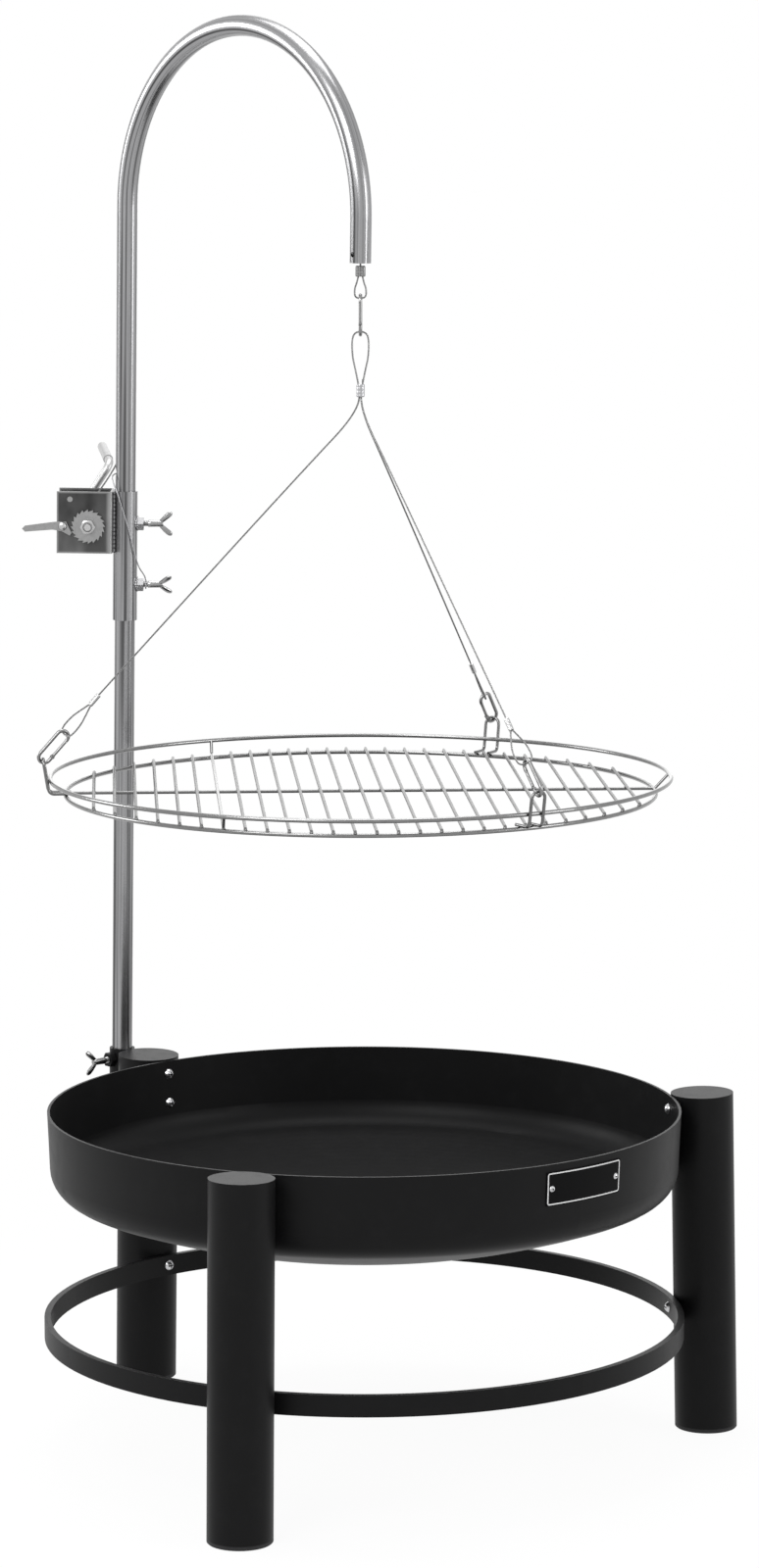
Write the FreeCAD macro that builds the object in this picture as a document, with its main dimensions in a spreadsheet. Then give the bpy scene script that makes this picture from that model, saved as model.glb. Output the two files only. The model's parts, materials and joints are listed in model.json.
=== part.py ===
import FreeCAD, Part
import math
import os
import re

import Sketcher
from FreeCAD import Placement, Rotation, Vector

# A brazier grill: a fire bowl on three tube legs, with a mast that carries a winch, a gooseneck and a round
# hanging grate. Millimetres, +Z up, origin on the floor under the bowl's middle, mast at -X.

SIZES = {
    # fire bowl
    "bowl_radius": 300.0,
    "rim_height": 328.0,
    "bowl_wall": 2.5,
    "bowl_side": 54.0,
    "side_draft": 2.4,
    "knuckle_radius": 28.0,
    "dish_radius": 800.0,
    # legs
    "leg_radius": 30.0,
    "leg_wall": 2.0,
    "leg_rise": 2.0,
    "leg_splay": 1.25,
    "leg_cap": 3.0,
    "foot_flange": 4.0,
    "foot_spigot": 12.0,
    "foot_play": 0.6,
    # base ring
    "ring_height": 20.0,
    "ring_thickness": 6.0,
    "ring_level": 120.0,
    # bolts of the bowl and the ring
    "bolt_radius": 3.0,
    "bolt_head_radius": 5.2,
    "bolt_head_height": 3.5,
    "bolt_grip": 10.0,
    "bolt_drop": 13.0,
    "bolt_spacing": 29.0,
    # nameplate
    "plate_width": 92.0,
    "plate_height": 31.0,
    "plate_thickness": 1.2,
    "plate_drop": 22.5,
    "plate_angle": 1.1,
    "rivet_radius": 3.0,
    "rivet_height": 1.6,
    "rivet_inset": 6.0,
    # mast and its socket
    "mast_radius": 10.0,
    "tube_wall": 2.0,
    "running_gap": 0.06,
    "end_gap": 0.3,
    "socket_wall": 2.5,
    "socket_length": 140.0,
    "socket_rise": 1.0,
    "socket_floor": 3.0,
    "sleeve_level": 764.0,
    "sleeve_length": 128.0,
    "sleeve_wall": 2.0,
    "tube_joint_gap": 2.0,
    "arch_level": 1173.0,
    "hang_short": 5.0,
    "arch_tail": 40.5,
    "cable_hole_radius": 4.5,
    "cable_hole_rise": 52.0,
    "pin_hole_radius": 2.5,
    "pin_hole_rise": 8.0,
    # wing screws and their nuts
    "screw_radius": 3.0,
    "screw_tip_gap": 0.2,
    "screw_thread_show": 4.0,
    "nut_across": 13.0,
    "nut_height": 6.5,
    "collar_radius": 3.5,
    "collar_length": 15.0,
    "wing_span": 23.0,
    "wing_reach": 8.5,
    "wing_thickness": 2.4,
    "socket_screw_drop": 10.5,
    "sleeve_screw_drop": 32.0,
    "sleeve_screw_spacing": 60.5,
    "sleeve_screw_angle": 49.0,
    "socket_screw_angle": -88.0,
    "upper_wing_turn": 8.0,
    "lower_wing_turn": 40.0,
    "socket_wing_turn": 4.0,
    # winch
    "winch_angle": -131.0,
    "axle_level": 858.5,
    "axle_offset": 35.6,
    "axle_radius": 4.0,
    "stub_radius": 3.2,
    "bracket_sheet": 2.0,
    "bracket_bend": 3.0,
    "bracket_gap": 36.0,
    "bracket_reach": 54.5,
    "bracket_top": 34.0,
    "bracket_bottom": 27.0,
    "tie_radius": 2.7,
    "tie_inset": 13.0,
    "tie_drop": 7.5,
    "tie_stand": 1.5,
    "side_play": 0.5,
    "drum_radius": 11.75,
    "drum_flange_radius": 17.0,
    "drum_flange": 2.0,
    "ratchet_radius": 17.0,
    "ratchet_thickness": 4.0,
    "tooth_depth": 2.4,
    "tooth_count": 20,
    "axle_nut_across": 13.0,
    "axle_nut_height": 6.5,
    "stub_show": 2.0,
    "crank_elbow_out": 9.0,
    "crank_elbow_up": 14.0,
    "crank_arm_in": 18.5,
    "crank_arm_up": 57.5,
    "crank_handle": 75.0,
    "handle_sway": 12.0,
    "handle_rise": 10.0,
    "crank_bend": 9.0,
    "grip_radius": 4.8,
    "grip_length": 58.0,
    "pawl_inset": 6.0,
    "pawl_thickness": 2.5,
    "pawl_hub": 5.0,
    "pawl_width": 6.0,
    "pawl_reach": 40.0,
    "pawl_gap": 0.4,
    "pawl_nose_angle": 22.0,
    "pawl_pin_radius": 2.4,
    "pawl_head_radius": 4.25,
    "pawl_head_height": 2.5,
    # wire rope
    "cable_radius": 0.9,
    "loop_count": 7,
    "loop_pitch": 2.5,
    "loop_start": 13.0,
    "wind_gap": 0.02,
    "takeoff_gap": 9.0,
    "cable_bend": 30.0,
    "drop_inside": 26.0,
    "cord_gap": 0.3,
    "tether_radius": 0.75,
    "tether_clear": 2.7,
    # suspension
    "hoist_ferrule_gap": 2.5,
    "hoist_ferrule_length": 10.0,
    "hoist_ferrule_radius": 2.7,
    "strand_offset": 2.0,
    "eye_length": 20.0,
    "eye_radius": 5.0,
    "hook_radius": 1.7,
    "hook_length": 40.0,
    "hook_half_width": 6.0,
    "hook_nose": 11.0,
    "hook_pivot": -8.0,
    "gate_radius": 1.45,
    "gate_pin_radius": 0.7,
    "gate_slot": 1.7,
    "gate_tongue": 1.5,
    "gate_shoulder": 0.4,
    "bridle_loop_length": 48.5,
    "bridle_loop_radius": 7.2,
    "bridle_ferrule_length": 12.0,
    "bridle_ferrule_radius": 3.9,
    "wire_spread": 1.2,
    "wire_ferrule_length": 13.0,
    "wire_ferrule_radius": 2.5,
    "wire_eye_length": 36.0,
    "wire_eye_radius": 7.5,
    "wire_eye_strand": 1.1,
    # grate
    "grate_level": 630.5,
    "grate_rise": 15.0,
    "lower_ring_radius": 277.0,
    "ring_flare": 14.0,
    "ring_wire_radius": 2.0,
    "cross_rod_radius": 1.5,
    "bar_radius": 1.5,
    "bar_overhang": 1.0,
    "bar_pitch": 19.25,
    "bar_bend": 3.0,
    "bar_end_gap": 0.1,
    "bars_each_side": 13,
    "rod_angle": -127.75,
    "spacer_radius": 1.4,
    "lug_radius": 1.5,
    "lug_half_width": 7.0,
    "lug_height": 35.5,
    "lug_foot": 16.0,
    "lug_bend": 5.0,
    "lug_lean": 9.0,
    "lug_bar": 7,
    "left_lug_angle": 4.0,
    "left_hook_turn": 20.0,
    "left_eye_turn": -45.0,
    "front_hook_turn": -7.0,
    "front_eye_turn": 58.0,
    "back_hook_turn": -25.0,
    "back_eye_turn": 40.0,
}
LEG_NAMES = {"leg_mast": 180.0, "leg_left": -60.0, "leg_right": 60.0}
LEG_COUNT = len(LEG_NAMES)
UP = Vector(0, 0, 1)
# how much of the shorter run an easy bend may use up
BEND_SHARE = 0.45
# the tether's way round the mast: angle from the winch, and share of the way down to the screw
TETHER_WAY = ((16.0, 0.02), (40.0, 0.10), (60.0, 0.18), (106.0, 0.50), (148.0, 0.83))

doc = FreeCAD.newDocument("brazier_grill")
sheet = doc.addObject("Spreadsheet::Sheet", "sizes")
for row, (alias, number) in enumerate(SIZES.items(), start=1):
    sheet.set("A%d" % row, alias)
    sheet.set("B%d" % row, repr(number))
    sheet.setAlias("B%d" % row, alias)
doc.recompute()

parts = {}


def formula(text):
    """The text with each size's name turned into the name of its cell."""
    return re.sub(r"[a-z_]+", lambda word: "sizes." + word[0] if word[0] in SIZES else word[0], text)


def value(text):
    """The number that a formula of sizes gives."""
    return float(sheet.evalExpression(formula(text)))


def new_body(label, place=Placement()):
    body = doc.addObject("PartDesign::Body", label)
    body.Label = label
    body.Placement = place
    parts[label] = body
    return body


def origin_feature(body, role):
    return next(feature for feature in body.Origin.OriginFeatures if feature.Role == role)


def new_sketch(body, plane, offset=Placement()):
    sketch = body.newObject("Sketcher::SketchObject", body.Label + "_sketch")
    sketch.AttachmentSupport = [(origin_feature(body, plane), "")]
    sketch.MapMode = "FlatFace"
    sketch.AttachmentOffset = offset
    return sketch


def tie(sketch, geometry, point, kind, text):
    """Hold one coordinate of a sketch point at a formula of sizes."""
    number = value(text)
    if abs(number) < 1e-7:
        axis = -2 if kind == "DistanceX" else -1
        sketch.addConstraint(Sketcher.Constraint("PointOnObject", geometry, point, axis))
        return
    index = sketch.addConstraint(Sketcher.Constraint(kind, -1, 1, geometry, point, number))
    sketch.setExpression("Constraints[%d]" % index, formula(text))


def outline(sketch, corners):
    """Closed outline of straight sides; each corner is a pair of formulas."""
    first = sketch.GeometryCount
    points = [Vector(value(x), value(y), 0) for x, y in corners]
    count = len(points)
    for start, end in zip(points, points[1:] + points[:1]):
        sketch.addGeometry(Part.LineSegment(start, end), False)
    for side, (x, y) in enumerate(corners):
        following = first + (side + 1) % count
        sketch.addConstraint(Sketcher.Constraint("Coincident", first + side, 2, following, 1))
        tie(sketch, first + side, 1, "DistanceX", x)
        tie(sketch, first + side, 1, "DistanceY", y)
    return sketch


def circle(sketch, radius, x="0", y="0"):
    geometry = sketch.addGeometry(Part.Circle(Vector(value(x), value(y), 0), UP, value(radius)), False)
    index = sketch.addConstraint(Sketcher.Constraint("Radius", geometry, value(radius)))
    sketch.setExpression("Constraints[%d]" % index, formula(radius))
    tie(sketch, geometry, 3, "DistanceX", x)
    tie(sketch, geometry, 3, "DistanceY", y)
    return sketch


def chain(sketch, curves):
    """Lines and arcs that follow each other, joined end to end."""
    first = sketch.GeometryCount
    for curve in curves:
        sketch.addGeometry(curve, False)
    last = sketch.GeometryCount
    for before in range(first, last):
        after = before + 1 if before + 1 < last else first
        for end in (1, 2):
            for start in (1, 2):
                near = sketch.getPoint(before, end).distanceToPoint(sketch.getPoint(after, start)) < 1e-6
                if near and after != before:
                    sketch.addConstraint(Sketcher.Constraint("Coincident", before, end, after, start))
    return sketch


def bind(feature, name, text):
    setattr(feature, name, value(text))
    feature.setExpression(name, formula(text))


def pad(body, sketch, length, symmetric=False, back=False):
    feature = body.newObject("PartDesign::Pad", body.Label + "_pad")
    feature.Profile = sketch
    bind(feature, "Length", length)
    feature.SideType = "Symmetric" if symmetric else "One side"
    feature.Reversed = back
    return feature


def pocket(body, sketch, length, symmetric=False, back=False):
    """Cut against the sketch's normal, or along it with back."""
    doc.recompute()
    before = body.Shape.Volume
    feature = body.newObject("PartDesign::Pocket", body.Label + "_pocket")
    feature.Profile = sketch
    bind(feature, "Length", length)
    feature.SideType = "Symmetric" if symmetric else "One side"
    feature.Reversed = back
    doc.recompute()
    if body.Shape.Volume > before - 1e-6:
        raise ValueError("the pocket cuts nothing in " + body.Label)
    return feature


def revolve(body, sketch, axis, angle="360", symmetric=False):
    feature = body.newObject("PartDesign::Revolution", body.Label + "_turn")
    feature.Profile = sketch
    feature.ReferenceAxis = (sketch, [axis])
    bind(feature, "Angle", angle)
    feature.Midplane = symmetric
    return feature


def round_corners(body, feature, radius, chosen):
    """Round the feature's edges whose middles are chosen."""
    doc.recompute()
    names = ["Edge%d" % number for number, edge in enumerate(feature.Shape.Edges, start=1)
             if chosen(edge.CenterOfMass)]
    rounding = body.newObject("PartDesign::Fillet", body.Label + "_rounding")
    rounding.Base = (feature, names)
    bind(rounding, "Radius", radius)
    return rounding


def repeat_round(body, features, count, angle="360", axis="Z_Axis"):
    feature = body.newObject("PartDesign::PolarPattern", body.Label + "_pattern")
    feature.Originals = features
    feature.Axis = (origin_feature(body, axis), [""])
    bind(feature, "Angle", angle)
    feature.Occurrences = count
    body.Tip = feature
    return feature


def shift(x="0", y="0", z="0"):
    return Placement(Vector(value(x), value(y), value(z)), Rotation())


def turn(axis, angle):
    return Placement(Vector(), Rotation(axis, angle))


def radial_plane(angle, level, out="0"):
    """Offset of a YZ sketch that faces outward at an angle round Z, at a height and a radius."""
    swing = math.radians(value(angle))
    reach = value(out)
    base = Vector(reach * math.sin(swing), value(level), reach * math.cos(swing))
    return Placement(base, Rotation(Vector(0, 1, 0), value(angle)))


def solid_part(label, shape, place=Placement()):
    """A piece that no body or primitive suits, such as a bent wire."""
    feature = doc.addObject("Part::Feature", label)
    feature.Label = label
    feature.Shape = shape
    feature.Placement = place
    parts[label] = feature
    return feature


def group(label, members):
    """Like pieces that share one node as separate solids."""
    compound = doc.addObject("Part::Compound", label)
    compound.Label = label
    compound.Links = members
    parts[label] = compound
    return compound


def rod(name, radius, length, place):
    cylinder = doc.addObject("Part::Cylinder", name)
    cylinder.Label = name
    bind(cylinder, "Radius", radius)
    bind(cylinder, "Height", length)
    cylinder.Placement = place
    return cylinder


# Wires: straight runs joined by tangent arcs

def bent_path(points, bends):
    """Edges along the points, with an arc of the given radius at each inner point."""
    edges = []
    start = points[0]
    for corner, after, bend in zip(points[1:-1], points[2:], bends):
        inward = (start - corner).normalize()
        outward = (after - corner).normalize()
        half = inward.getAngle(outward) / 2
        cut = bend / math.tan(half)
        first = corner + inward * cut
        last = corner + outward * cut
        middle = (inward + outward).normalize()
        crown = corner + middle * (bend / math.sin(half) - bend)
        edges.append(Part.LineSegment(start, first).toShape())
        edges.append(Part.Arc(first, crown, last).toShape())
        start = last
    edges.append(Part.LineSegment(start, points[-1]).toShape())
    return edges


def easy_bends(points):
    """The largest tangent arcs that the runs leave room for."""
    bends = []
    for before, corner, after in zip(points, points[1:], points[2:]):
        shorter = min((before - corner).Length, (after - corner).Length)
        half_turn = (corner - before).getAngle(after - corner) / 2
        bends.append(BEND_SHARE * shorter / math.tan(half_turn))
    return bends


def wire_solid(name, edges, radius):
    """A round wire along the edges, its volume compared with section times length."""
    path = Part.Wire(edges)
    first = edges[0]
    start = first.valueAt(first.FirstParameter)
    along = first.tangentAt(first.FirstParameter)
    ring = Part.Wire([Part.Circle(start, along, radius).toShape()])
    solid = path.makePipeShell([ring], True, False)
    expected = math.pi * radius ** 2 * path.Length
    tightest = min((edge.Curve.Radius for edge in edges if hasattr(edge.Curve, "Radius")), default=0.0)
    print("%s: length %.1f, tightest bend %.2f, volume over section times length %.4f"
          % (name, path.Length, tightest, solid.Volume / expected))
    return solid


def teardrop(gap, height, radius):
    """A wire loop in the XZ plane: two strands from (-gap, 0) and (gap, 0) round a circle at z = height."""
    sign = 1 if height > 0 else -1
    centre = Vector(0, 0, height - sign * radius)
    reach = Vector(gap, 0, -centre.z)
    swing = math.acos(radius / reach.Length)
    lift = math.atan2(reach.z, reach.x)
    touch_angle = lift + sign * swing
    touch = centre + Vector(radius * math.cos(touch_angle), 0, radius * math.sin(touch_angle))
    mirror = Vector(-touch.x, 0, touch.z)
    crown = centre + Vector(0, 0, sign * radius)
    return [Part.LineSegment(Vector(-gap, 0, 0), mirror).toShape(),
            Part.Arc(mirror, crown, touch).toShape(),
            Part.LineSegment(touch, Vector(gap, 0, 0)).toShape()]


def biarc(start, start_way, end, end_way):
    """Two arcs that leave and arrive along the given directions."""
    span = end - start
    ways = start_way + end_way
    spread = 1 - start_way.dot(end_way)
    push = span.dot(ways)
    reach = (math.sqrt(push ** 2 + 2 * spread * span.dot(span)) - push) / (2 * spread)
    joint = (start + start_way * reach + end - end_way * reach) * 0.5
    edges = []
    knees = (start + start_way * reach, end - end_way * reach)
    for begin, knee, finish in zip((start, joint), knees, (joint, end)):
        chord = (begin + finish) * 0.5
        slope = (knee - begin).getAngle(finish - begin)
        rise = (finish - begin).Length / 2 * math.tan(slope / 2)
        edges.append(Part.Arc(begin, chord + (knee - chord).normalize() * rise, finish).toShape())
    return edges


# Frames that several pieces share

SPLAY = math.radians(value("leg_splay"))
LEG_FOOT = value("bowl_radius + leg_radius/cos(leg_splay) + rim_height*tan(leg_splay)")
SOCKET_RADIUS = "(mast_radius + running_gap + socket_wall)"
SLEEVE_RADIUS = "(mast_radius + running_gap + sleeve_wall)"
MAST_FOOT = LEG_FOOT + value("(leg_radius + %s)/cos(leg_splay)" % SOCKET_RADIUS)
MAST = Placement(Vector(-MAST_FOOT, 0, 0), Rotation(Vector(0, 1, 0), value("leg_splay")))
LEG_TOP = "(rim_height + leg_rise)"
SOCKET_TOP = "(%s + socket_rise)" % LEG_TOP
SOCKET_BASE = "(%s - socket_length)" % SOCKET_TOP
SOCKET_SCREW = "(%s - socket_screw_drop)" % SOCKET_TOP
TUBE_JOINT = "(sleeve_level + sleeve_length/2)"
UPPER_SCREW = "(sleeve_level + sleeve_length - sleeve_screw_drop)"
LOWER_SCREW = "(%s - sleeve_screw_spacing)" % UPPER_SCREW
WINCH = MAST.multiply(shift(z="axle_level")).multiply(turn(UP, value("winch_angle")))
BRACKET_HALF = "(bracket_gap/2 + bracket_sheet)"
# the gooseneck's end hangs just short of the bowl's middle
TAIL_LEVEL = value("arch_level - arch_tail")
ARCH_SPAN = (MAST_FOOT - value("hang_short")) / math.cos(SPLAY) - TAIL_LEVEL * math.tan(SPLAY)
TUBE_END = MAST.multVec(Vector(ARCH_SPAN, 0, TAIL_LEVEL))
HANG = shift(x="-hang_short")
ROD_TURN = value("rod_angle")
# the front and back lugs straddle a bar, counted from the middle one
LUG_SWING = math.degrees(math.acos(-value("lug_bar*bar_pitch/lower_ring_radius")))
# each hanging leg's angle from the cross rod, and the turns of its hook and wire eye about the wire
LEGS = {
    "left": (value("left_lug_angle"), value("left_hook_turn"), value("left_eye_turn")),
    "front": (LUG_SWING, value("front_hook_turn"), value("front_eye_turn")),
    "back": (360.0 - LUG_SWING, value("back_hook_turn"), value("back_eye_turn")),
}
HOOK_END = "(hook_length/2 - hook_radius)"
EYE_CLEAR = "(hook_radius + cable_radius + cord_gap)"


# Stand

def wall_outside(level):
    """Formula of the bowl wall's outer radius at a height."""
    return "(bowl_radius - (rim_height - (%s))*tan(side_draft))" % level


def wall_inside(level):
    return "(%s - bowl_wall/cos(side_draft))" % wall_outside(level)


UPPER_BOLT = "(rim_height - bolt_drop)"
LOWER_BOLT = "(rim_height - bolt_drop - bolt_spacing)"
RING_RADIUS = "(bowl_radius + (rim_height - ring_level - ring_height/2)*tan(leg_splay))"


def make_bowl():
    body = new_body("fire_bowl")
    draft = math.radians(value("side_draft"))
    wall, knuckle, dish = value("bowl_wall"), value("knuckle_radius"), value("dish_radius")
    rim = Vector(value("bowl_radius"), value("rim_height"), 0)
    side = Vector(value(wall_outside("rim_height - bowl_side")), value("rim_height - bowl_side"), 0)
    inward = Vector(-math.cos(draft), math.sin(draft), 0)
    knuckle_centre = side + inward * knuckle
    drop = math.sqrt((dish - knuckle) ** 2 - knuckle_centre.x ** 2)
    dish_centre = Vector(0, knuckle_centre.y + drop, 0)
    seam = (knuckle_centre - dish_centre).normalize()
    seam_angle = math.atan2(seam.y, seam.x)
    inner_rim = Vector(value(wall_inside("rim_height")), rim.y, 0)
    inner_side = side + inward * wall

    def arc(centre, radius, low, high):
        return Part.ArcOfCircle(Part.Circle(centre, UP, radius), low, high)

    sketch = new_sketch(body, "XZ_Plane")
    chain(sketch, [
        Part.LineSegment(rim, side),
        arc(knuckle_centre, knuckle, seam_angle, -draft),
        arc(dish_centre, dish, -math.pi / 2, seam_angle),
        Part.LineSegment(dish_centre - Vector(0, dish, 0), dish_centre - Vector(0, dish - wall, 0)),
        arc(dish_centre, dish - wall, -math.pi / 2, seam_angle),
        arc(knuckle_centre, knuckle - wall, seam_angle, -draft),
        Part.LineSegment(inner_side, inner_rim),
        Part.LineSegment(inner_rim, rim),
    ])
    for geometry, radius in ((1, "knuckle_radius"), (2, "dish_radius"), (4, "dish_radius - bowl_wall"),
                             (5, "knuckle_radius - bowl_wall")):
        index = sketch.addConstraint(Sketcher.Constraint("Radius", geometry, value(radius)))
        sketch.setExpression("Constraints[%d]" % index, formula(radius))
    tie(sketch, 0, 1, "DistanceX", "bowl_radius")
    tie(sketch, 0, 1, "DistanceY", "rim_height")
    revolve(body, sketch, "V_Axis")
    holes = new_sketch(body, "YZ_Plane")
    circle(holes, "bolt_radius", "0", UPPER_BOLT)
    circle(holes, "bolt_radius", "0", LOWER_BOLT)
    repeat_round(body, [pocket(body, holes, "bowl_radius + bolt_grip")], LEG_COUNT)


def make_leg(label, angle):
    leaning = Placement(Vector(LEG_FOOT, 0, 0), Rotation(Vector(0, 1, 0), -value("leg_splay")))
    body = new_body(label, turn(UP, angle).multiply(leaning))
    top = "(%s)/cos(leg_splay)" % LEG_TOP
    low = "-leg_wall"
    bore = "(leg_radius - leg_wall)"
    tube = new_sketch(body, "XZ_Plane")
    outline(tube, [("0", top), ("leg_radius", top), ("leg_radius", low), (bore, low),
                   (bore, top + " - leg_cap"), ("0", top + " - leg_cap")])
    revolve(body, tube, "V_Axis")
    # the foot end is cut level, where it stands on its plug
    floor_cut = new_sketch(body, "XZ_Plane")
    wide = "2*leg_radius"
    outline(floor_cut, [("-" + wide, "(foot_flange + %s*sin(leg_splay))/cos(leg_splay)" % wide),
                        ("-" + wide, "-leg_radius"), (wide, "-leg_radius"),
                        (wide, "(foot_flange - %s*sin(leg_splay))/cos(leg_splay)" % wide)])
    pocket(body, floor_cut, "4*leg_radius", symmetric=True)
    # bolt holes run level, towards the bowl's axis
    holes = new_sketch(body, "YZ_Plane", Placement(Vector(), Rotation(Vector(1, 0, 0), value("leg_splay"))))
    for level in (UPPER_BOLT, LOWER_BOLT, "ring_level"):
        circle(holes, "bolt_radius", "0", level)
    pocket(body, holes, "2*leg_radius")


def make_foot_plugs():
    body = new_body("foot_plugs")
    sketch = new_sketch(body, "XZ_Plane", Placement(
        Vector(-(LEG_FOOT - value("foot_flange") * math.tan(SPLAY)), 0, 0), Rotation()))
    spigot = "(leg_radius - leg_wall - foot_play)"
    rim = "leg_radius - foot_flange/4"
    outline(sketch, [("0", "0"), (rim, "0"), ("leg_radius", "foot_flange/4"), ("leg_radius", "foot_flange"),
                     (spigot, "foot_flange"), (spigot, "foot_flange + foot_spigot"),
                     ("0", "foot_flange + foot_spigot")])
    repeat_round(body, [revolve(body, sketch, "V_Axis")], LEG_COUNT)


def make_base_ring():
    body = new_body("base_ring")
    sketch = new_sketch(body, "XZ_Plane")
    low, high = "ring_level - ring_height/2", "ring_level + ring_height/2"
    inner = RING_RADIUS + " - ring_thickness"
    outline(sketch, [(inner, low), (RING_RADIUS, low), (RING_RADIUS, high), (inner, high)])
    revolve(body, sketch, "V_Axis")
    holes = circle(new_sketch(body, "YZ_Plane"), "bolt_radius", "0", "ring_level")
    repeat_round(body, [pocket(body, holes, "bowl_radius + 2*leg_radius")], LEG_COUNT)


def bolt(body, level, face, end):
    """A domed bolt on the mast leg's side, its head against the inside at radius face."""
    sketch = new_sketch(body, "XZ_Plane", shift(y=level))
    crown = "-(%s - bolt_head_height)" % face
    shoulder = "-(%s - bolt_head_height/3)" % face
    outline(sketch, [(crown, "0"), (crown, "bolt_head_radius*0.6"), (shoulder, "bolt_head_radius"),
                     ("-(%s)" % face, "bolt_head_radius"), ("-(%s)" % face, "bolt_radius"),
                     ("-(%s)" % end, "bolt_radius"), ("-(%s)" % end, "0")])
    return revolve(body, sketch, "H_Axis")


def make_bolts():
    bowl_bolts = new_body("bowl_bolts")
    bolts = []
    for level in (UPPER_BOLT, LOWER_BOLT):
        face = wall_inside(level + " - bolt_head_radius")
        end = "bowl_radius + (rim_height - %s)*tan(leg_splay) + leg_wall + bolt_grip" % level
        bolts.append(bolt(bowl_bolts, level, face, end))
    repeat_round(bowl_bolts, bolts, LEG_COUNT)
    ring_bolts = new_body("ring_bolts")
    face = "sqrt((%s - ring_thickness)^2 - bolt_head_radius^2)" % RING_RADIUS
    end = "bowl_radius + (rim_height - ring_level)*tan(leg_splay) + leg_wall + bolt_grip"
    repeat_round(ring_bolts, [bolt(ring_bolts, "ring_level", face, end)], LEG_COUNT)


def make_nameplate():
    body = new_body("nameplate", turn(UP, value("plate_angle")))
    middle = "(rim_height - plate_drop)"
    low, high = middle + " - plate_height/2", middle + " + plate_height/2"
    sketch = new_sketch(body, "XZ_Plane")
    outline(sketch, [(wall_outside(low), low), (wall_outside(low) + " + plate_thickness", low),
                     (wall_outside(high) + " + plate_thickness", high), (wall_outside(high), high)])
    revolve(body, sketch, "V_Axis", "plate_width/bowl_radius*180/pi", symmetric=True)
    half = "(plate_width/2 - rivet_inset)/bowl_radius*180/pi"
    rivets = new_body("nameplate_rivets", turn(UP, value("plate_angle") - value(half)))
    seat = Vector(value(wall_outside(middle) + " + plate_thickness"), value(middle), 0)
    dome = new_sketch(rivets, "XZ_Plane", Placement(seat, Rotation(UP, -value("side_draft"))))
    outline(dome, [("0", "0"), ("0", "rivet_radius"), ("rivet_height/2", "rivet_radius*0.9"),
                   ("rivet_height", "rivet_radius/2"), ("rivet_height", "0")])
    repeat_round(rivets, [revolve(rivets, dome, "H_Axis")], 2, "2*" + half)


# Mast

def make_nut(body, angle, level, seat):
    """A hexagon nut that stands on a tube of radius seat."""
    sketch = new_sketch(body, "YZ_Plane", radial_plane(angle, level, seat))
    corners = [("nut_across/sqrt(3)*cos(%d)" % corner, "nut_across/sqrt(3)*sin(%d)" % corner)
               for corner in range(0, 360, 60)]
    outline(sketch, corners)
    circle(sketch, "screw_radius + running_gap")
    return pad(body, sketch, "nut_height")


def screw_hole(body, angle, level, reach):
    hole = circle(new_sketch(body, "YZ_Plane", radial_plane(angle, level)), "screw_radius + running_gap")
    pocket(body, hole, reach, back=True)


def make_socket():
    body = new_body("mast_socket", MAST)
    bore = "(mast_radius + running_gap)"
    sketch = new_sketch(body, "XZ_Plane")
    ledge = SOCKET_BASE + " + socket_floor"
    outline(sketch, [("0", SOCKET_BASE), (SOCKET_RADIUS, SOCKET_BASE), (SOCKET_RADIUS, SOCKET_TOP),
                     (bore, SOCKET_TOP), (bore, ledge), ("0", ledge)])
    revolve(body, sketch, "V_Axis")
    screw_hole(body, "socket_screw_angle", SOCKET_SCREW, "2*mast_radius")
    make_nut(new_body("socket_nut", MAST), "socket_screw_angle", SOCKET_SCREW, SOCKET_RADIUS)


def tube_ring(body, low, high, inner, outer):
    sketch = new_sketch(body, "XY_Plane", shift(z=low))
    circle(sketch, outer)
    circle(sketch, inner)
    return pad(body, sketch, "%s - (%s)" % (high, low))


def make_mast():
    bore = "mast_radius - tube_wall"
    tube = new_body("mast_tube", MAST)
    tube_ring(tube, SOCKET_BASE + " + socket_floor + end_gap", TUBE_JOINT, bore, "mast_radius")
    sleeve = new_body("mast_sleeve", MAST)
    sleeve_top = "sleeve_level + sleeve_length"
    tube_ring(sleeve, "sleeve_level", sleeve_top, "mast_radius + running_gap", SLEEVE_RADIUS)
    nuts = new_body("sleeve_nuts", MAST)
    for level in (UPPER_SCREW, LOWER_SCREW):
        screw_hole(sleeve, "sleeve_screw_angle", level, "2*mast_radius")
        make_nut(nuts, "sleeve_screw_angle", level, SLEEVE_RADIUS)


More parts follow.
